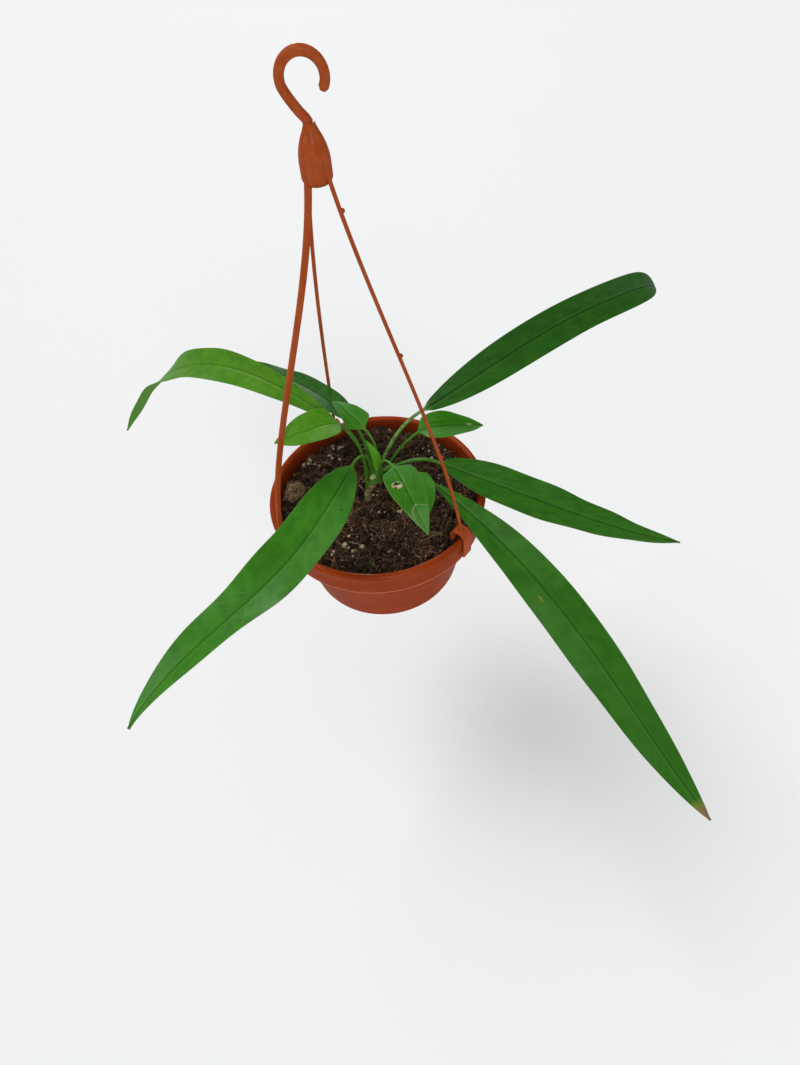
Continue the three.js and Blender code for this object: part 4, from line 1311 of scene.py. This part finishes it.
# %% Lay fibres
def fibre_recipe(name, material):
    recipe = Recipe(name, Density=1000.0, Short=0.004, Long=0.020, Thick=0.00014, Wander=0.004, Rise=0.001,
                    Patchy=0.0, Curl=60.0, Seed=1)
    size = recipe.sizes
    patches = recipe.noise(34.0, 2.0, 0.5, at=recipe.make("InputPosition")).step(0.40, 0.60)
    density = size["Density"] * (patches * size["Patchy"] + (1 - size["Patchy"]))
    line = recipe.make("CurvePrimitiveLine", Start=(-0.5, 0, 0), End=(0.5, 0, 0))
    thread = recipe.make("ResampleCurve", Curve=line, Count=10)
    turn = recipe.random((-0.25, -0.25, 0), (0.25, 0.25, 6.283), size["Seed"] + 1, vector=True)
    share = recipe.random(0.0, 1.0, size["Seed"] + 2)
    length = size["Short"] + (size["Long"] - size["Short"]) * share * share
    laid = recipe.toned_copies(recipe.strewn_points(density), thread, turn, length)
    tone = recipe.make("InputNamedAttribute", {"data_type": "FLOAT"}, Name="tone")
    place = recipe.make("InputPosition")
    inputs = {"Vector": place, "W": tone, "Scale": size["Curl"], "Detail": 1.0}
    bend = recipe.node("ShaderNodeTexNoise", {"noise_dimensions": "4D"}, inputs, out=1)
    shift = recipe.vector("SUBTRACT", bend, (0.5, 0.5, 0.46))
    shift = recipe.vector("SCALE", shift, size["Wander"] * 2.0)
    along = recipe.make("SplineParameter")
    arch = along * (1 - along) * 4.0 * size["Rise"]
    up = recipe.node("ShaderNodeCombineXYZ", {}, [0.0, 0.0, arch])
    bent = recipe.moved(laid, recipe.vector("ADD", shift, up))
    section = recipe.make("CurvePrimitiveCircle", Resolution=3, Radius=size["Thick"])
    return recipe.finish(recipe.make("CurveToMesh", Curve=bent, Profile_Curve=section), material)


def fibre_finish(name, dark, pale):
    finish = Finish(name, Specular_IOR_Level=0.3)
    tone = finish.attribute("tone")
    fine = finish.noise(300.0, 2.0, 0.5)
    finish.colour = finish.mix((tone.step(0.1, 0.9) * 0.8 + fine * 0.3).clamp(), dark, pale)
    return finish.wear(fine * 0.2 + 0.6)


coir = fibre_finish("coir_fibre", (0.075, 0.034, 0.014), (0.470, 0.280, 0.135))
fibres = fibre_recipe("lay_fibres", coir)
strew(fibres, "coir_fibres", Density=80000.0, Long=0.014, Thick=0.00012, Wander=0.0050, Rise=0.0016,
      Patchy=0.75, Seed=41)
strew(fibres, "coarse_fibres", (12, -34), 62.0, Density=11000.0, Short=0.006, Long=0.022, Thick=0.00018,
      Wander=0.0060, Rise=0.0022, Patchy=0.85, Seed=42)
strew(fibres, "long_roots", (8, -30), 60.0, Density=1500.0, Short=0.012, Long=0.034, Thick=0.00022,
      Wander=0.010, Rise=0.003, Seed=43)

# %% Dry clump and living moss
dry_moss = fibre_finish("dry_moss", (0.024, 0.014, 0.006), (0.640, 0.450, 0.230))
clump_threads = fibre_recipe("clump_threads", dry_moss)
strew(clump_threads, "dry_moss_clump", (CLUMP["x"], CLUMP["y"]), 10.5, Density=2200000.0,
      Short=0.0012, Long=0.0050, Thick=0.00015, Wander=0.0030, Rise=0.0016, Curl=160.0, Seed=47)
living_moss = fibre_finish("living_moss", (0.020, 0.040, 0.006), (0.080, 0.120, 0.022))
moss_threads = fibre_recipe("moss_threads", living_moss)
for number, (x, y, radius) in enumerate([(-9, -68, 3.6), (1, -77, 2.8)]):
    strew(moss_threads, f"moss_cushion_{number + 1}", (x, y), radius, Density=4500000.0,
          Short=0.0008, Long=0.0026, Thick=0.00012, Wander=0.0014, Rise=0.0009, Curl=160.0, Seed=53 + number)

# %% [markdown]
# ## Hanger
#
# The hanger is a light moulding of its own. Each leg is a flat strip with rounded edges that follows one
# curve from its clip to the hub, so it is swept by a recipe. The mould's little nubs are joined on where a
# leg has them. The clips are thick outlines with softened edges, and the hook is a round wire.

# %% Sweep the legs
HUB = Vector((-9, 4, POT_HEIGHT + 265))
HUB_RING = 4.5
LEG_FOOT_HEIGHT = POT_HEIGHT + 9.0
LEG_WIDTH = 2.2
LEG_DEPTH = 4.4
FOOT_REACH = 79.0
HUB_REACH = 67.0
# The strip starts a little inside the clip, and ends at this share of its way, inside the hub.
FOOT_OVERLAP = 2.2
LEG_END = 0.965
LEG_STEPS = 60
NUB_RADIUS = 1.5
CLIP_WIDTH = 9.5
# twist: how far the flat strip is turned about its own length, in degrees.
LEGS = {
    "hanger_right": dict(at=-43, foot=84, bows=(10, 13.2), twist=-37, nubs=(0.26, 0.53, 0.85)),
    "hanger_left": dict(at=208, foot=86.5, bows=(3, 0), twist=0, nubs=()),
    "hanger_back": dict(at=113, foot=84, bows=(8, 35), twist=-23, nubs=()),
}


def round_the_pot(radius, angle, z):
    turn = math.radians(angle)
    return Vector((radius * math.cos(turn), radius * math.sin(turn), z))


def leg_point(leg, u):
    outward = round_the_pot(1, leg["at"], 0)
    foot = round_the_pot(leg["foot"], leg["at"], LEG_FOOT_HEIGHT)
    top = HUB + outward * HUB_RING
    foot_pull = foot - outward * leg["bows"][0] + Vector((0, 0, FOOT_REACH))
    top_pull = top + outward * leg["bows"][1] - Vector((0, 0, HUB_REACH))
    v = 1 - u
    return foot * v ** 3 + foot_pull * 3 * v * v * u + top_pull * 3 * v * u * u + top * u ** 3


def leg_heading(leg, u):
    """The direction in which the leg runs on from a place."""
    return (leg_point(leg, u + 0.01) - leg_point(leg, u)).normalized()


def leg_recipe(material):
    recipe = Recipe("sweep_leg", Width=LEG_WIDTH * MM, Depth=LEG_DEPTH * MM, Edge=0.0008, Twist=0.0)
    size = recipe.sizes
    curve = recipe.make("MeshToCurve", Mesh=recipe.geometry)
    upright = recipe.make("SetCurveNormal", {"mode": "Z_UP"}, Curve=curve)
    turned = recipe.make("SetCurveTilt", Curve=upright, Tilt=size["Twist"])
    outline = recipe.make("CurvePrimitiveQuadrilateral", Width=size["Width"], Height=size["Depth"])
    rounded = recipe.make("FilletCurve", {"mode": "POLY"}, Curve=outline, Radius=size["Edge"], Count=4,
                          Limit_Radius=True)
    swept = recipe.make("CurveToMesh", Curve=turned, Profile_Curve=rounded, Fill_Caps=True)
    return recipe.finish(swept, material)


def nub_ball(centre, radius):
    """A small ball with a slightly flattened top, as a mould leaves it."""
    ball = bmesh.new()
    bmesh.ops.create_icosphere(ball, subdivisions=3, radius=radius * MM)
    for vertex in ball.verts:
        vertex.co = vertex.co * (1 - 0.08 * max(vertex.co.z / (radius * MM), 0)) + centre * MM
    return ball


# %% The clips
ARCH_CENTRE = (RIM_RADIUS - 5.2, 0.8)
ARCH_INSIDE = 5.5
ARCH_OUTSIDE = 7.2
FLAP_END = -BAND_HEIGHT + 3.6
RIDGE = 0.95
CLIP_EDGE = 0.45


def clip_outline():
    inner = ARCH_CENTRE[0] + ARCH_INSIDE
    outer = ARCH_CENTRE[0] + ARCH_OUTSIDE
    finger_in = ARCH_CENTRE[0] - ARCH_INSIDE
    finger_out = ARCH_CENTRE[0] - ARCH_OUTSIDE
    outline = [(inner - 0.3, FLAP_END), (outer - 0.7, FLAP_END), (outer - 0.2, FLAP_END + 0.6)]
    outline += arc(ARCH_CENTRE, ARCH_OUTSIDE, 0, 180, 25)
    outline += [(finger_out + 0.1, -3.6), (finger_out + 0.8, -4.6)]
    outline += [(finger_in + 0.9, -4.2), (finger_in + 0.7, -3.0)]
    outline += arc(ARCH_CENTRE, ARCH_INSIDE, 180, 0, 21)
    outline += [(inner, -5.9), (inner - RIDGE, -6.7), (inner - RIDGE, -8), (inner, -9.2)]
    return outline


def build_clip(at):
    """The clip as a bmesh: its outline, given a width and softened edges."""
    clip = bmesh.new()
    outline = clip_outline()
    turn = math.radians(at)
    rows = []
    for offset in (-CLIP_WIDTH / 2, CLIP_WIDTH / 2):
        across = Vector((-math.sin(turn), math.cos(turn), 0)) * offset
        row = [round_the_pot(radius, at, height + POT_HEIGHT) + across for radius, height in outline]
        rows.append([clip.verts.new(point * MM) for point in row])
    count = len(outline)
    for j in range(count):
        k = (j + 1) % count
        clip.faces.new((rows[0][j], rows[0][k], rows[1][k], rows[1][j]))
    clip.faces.new(rows[0])
    clip.faces.new(rows[1])
    bmesh.ops.recalc_face_normals(clip, faces=clip.faces)
    rims = [edge for edge in clip.edges if edge.calc_face_angle(0) > math.radians(35)]
    bmesh.ops.bevel(clip, geom=rims, offset=CLIP_EDGE * MM, segments=3, profile=0.5, affect="EDGES",
                    clamp_overlap=True)
    return clip


def join_into(piece, extra):
    """Adds a bmesh to a piece's mesh."""
    whole = bmesh.new()
    whole.from_mesh(piece.data)
    scrap = bpy.data.meshes.new("scrap")
    extra.to_mesh(scrap)
    extra.free()
    whole.from_mesh(scrap)
    whole.to_mesh(piece.data)
    whole.free()
    bpy.data.meshes.remove(scrap)


# %% Assemble each leg
sweep = leg_recipe(hanger_plastic)
for name, leg in LEGS.items():
    below = leg_point(leg, 0) - leg_heading(leg, 0) * FOOT_OVERLAP
    line = [below] + [leg_point(leg, LEG_END * i / LEG_STEPS) for i in range(LEG_STEPS + 1)]
    twist = math.radians(leg["twist"])
    arm = sweep.cook(line_piece(name + "_arm", line), Twist=twist)
    join_into(arm, build_clip(leg["at"]))
    for u in leg["nubs"]:
        across = Matrix.Rotation(twist, 3, leg_heading(leg, u)) @ round_the_pot(1, leg["at"] + 90, 0)
        join_into(arm, nub_ball(leg_point(leg, u) + across * LEG_WIDTH / 2, NUB_RADIUS))
    soften(arm, 48)
    settle(arm, "hanger", name)

# %% [markdown]
# The hub is a small turned boss that the legs run into, and the hook above it is a round wire bent into
# an open eye. Both are plain, because the photograph ends below them.

# %% Hub and hook
HOOK_RADIUS = 2.6
EYE_HEIGHT = 28
EYE_RADIUS = 11
# The hub's outline: radius and height above the point where the legs meet.
HUB_PROFILE = [(0, -21), (5.6, -21), (6.4, -20.6), (8.3, -18.4), (8.6, -17.4), (8.6, -9), (8.3, -6),
               (7.4, -2), (5.9, 2), (4.4, 5), (3.4, 7.4), (3.0, 9), (0, 9)]


def hook_line():
    eye = HUB + Vector((0, 0, EYE_HEIGHT))
    line = [HUB + Vector((0, 0, 4)), HUB + Vector((-0.5, 0, 9)), HUB + Vector((-4.5, 0, 14.5))]
    for turn in np.radians(np.arange(215, -36, -25)):
        line.append(eye + Vector((math.cos(turn), 0, math.sin(turn))) * EYE_RADIUS)
    return line


def smooth_line(points, steps):
    """A centripetal curve through the points."""
    ends = [points[0] * 2 - points[1]] + points + [points[-1] * 2 - points[-2]]
    line = []
    for i in range(len(points) - 1):
        four = ends[i:i + 4]
        knots = [0.0]
        for a, b in zip(four, four[1:]):
            knots.append(knots[-1] + (b - a).length ** 0.5)
        for step in range(steps):
            t = knots[1] + (knots[2] - knots[1]) * step / steps
            layer = four
            for reach in (1, 2):
                layer = [a.lerp(b, (t - knots[j]) / (knots[j + reach] - knots[j]))
                         for j, (a, b) in enumerate(zip(layer, layer[1:]))]
            line.append(layer[0].lerp(layer[1], (t - knots[1]) / (knots[2] - knots[1])))
    return line + [points[-1]]


def build_hook(material):
    line = smooth_line(hook_line(), 8)
    sideways = Vector((0, 1, 0))
    count = 20
    points = []
    for i, centre in enumerate(line):
        along = (line[min(i + 1, len(line) - 1)] - line[max(i - 1, 0)]).normalized()
        deep = along.cross(sideways).normalized()
        closing = 1 - 0.4 * smoothstep(i, len(line) - 4, len(line) - 1)
        thick = HOOK_RADIUS * float(closing)
        for turn in turns(count):
            points.append(centre + (sideways * math.cos(turn) + deep * math.sin(turn)) * thick)
    piece = loft("hanger_hook_and_hub", np.reshape(points, (-1, count, 3)), material)
    hub = bmesh.new()
    verts = [hub.verts.new((radius * MM, 0, height * MM)) for radius, height in HUB_PROFILE]
    edges = [hub.edges.new(pair) for pair in zip(verts, verts[1:])]
    bmesh.ops.spin(hub, geom=verts + edges, cent=(0, 0, 0), axis=(0, 0, 1), angle=2 * math.pi, steps=64)
    bmesh.ops.remove_doubles(hub, verts=hub.verts, dist=1e-6)
    bmesh.ops.translate(hub, verts=hub.verts, vec=HUB * MM)
    bmesh.ops.recalc_face_normals(hub, faces=hub.faces)
    join_into(piece, hub)
    soften(point_outwards(piece), 50)
    return piece


settle(build_hook(hanger_plastic), "hanger", "hanger_hook")

# %% [markdown]
# ## Floor and light
#
# The pot hangs well above a pale floor, so its shadow is soft and wide. Every lamp is a very distant one,
# so that the floor is lit evenly: a broad one overhead, a broad low one in front that lights the pot's
# wall, and a small bright one behind that puts a thin glint on the rim. The sky is dim near the horizon.

# %% Floor
FLOOR_HALF = 8000
FLOOR_LEVEL = -240
corners = [(-FLOOR_HALF, -FLOOR_HALF), (FLOOR_HALF, -FLOOR_HALF), (FLOOR_HALF, FLOOR_HALF),
           (-FLOOR_HALF, FLOOR_HALF)]
floor_look = Finish("pale_floor")
tone = floor_look.noise(1.2, 2.0, 0.5)
floor_look.colour = floor_look.mix(tone, (0.86, 0.86, 0.85), (0.90, 0.90, 0.89))
floor_points = [(x, y, FLOOR_LEVEL) for x, y in corners]
floor = mesh_piece("floor", floor_points, [(0, 1, 2, 3)], floor_look.wear(0.9))


# %% Lamps and world
def sun(name, toward, strength, spread):
    """A very distant lamp, so that the whole floor is lit alike."""
    light = bpy.data.lights.new(name, "SUN")
    light.energy = strength
    light.angle = math.radians(spread)
    placed(name, light).rotation_euler = (-Vector(toward)).to_track_quat("-Z", "Y").to_euler()


sun("overhead_light", (-0.45, 0.24, 0.86), 1.5, 35)
sun("front_light", (0.12, -0.80, 0.59), 1.05, 28)
sun("window_light", (-0.05, 0.95, 0.30), 0.95, 12)

world = bpy.data.worlds.new("studio_sky")
world.use_nodes = True
sky = Nodes(world.node_tree)
direction = sky.node("ShaderNodeTexCoord", out="Generated")
height = Value(sky, sky.node("ShaderNodeSeparateXYZ", {}, [direction]).socket.node.outputs["Z"])
backdrop = world.node_tree.nodes["Background"]
sky.give(backdrop.inputs["Color"], (0.80, 0.83, 0.87))
sky.give(backdrop.inputs["Strength"], height.step(0.10, 0.90) * 0.15 + 0.27)
bpy.context.scene.world = world
bpy.context.scene.view_settings.view_transform = "Standard"
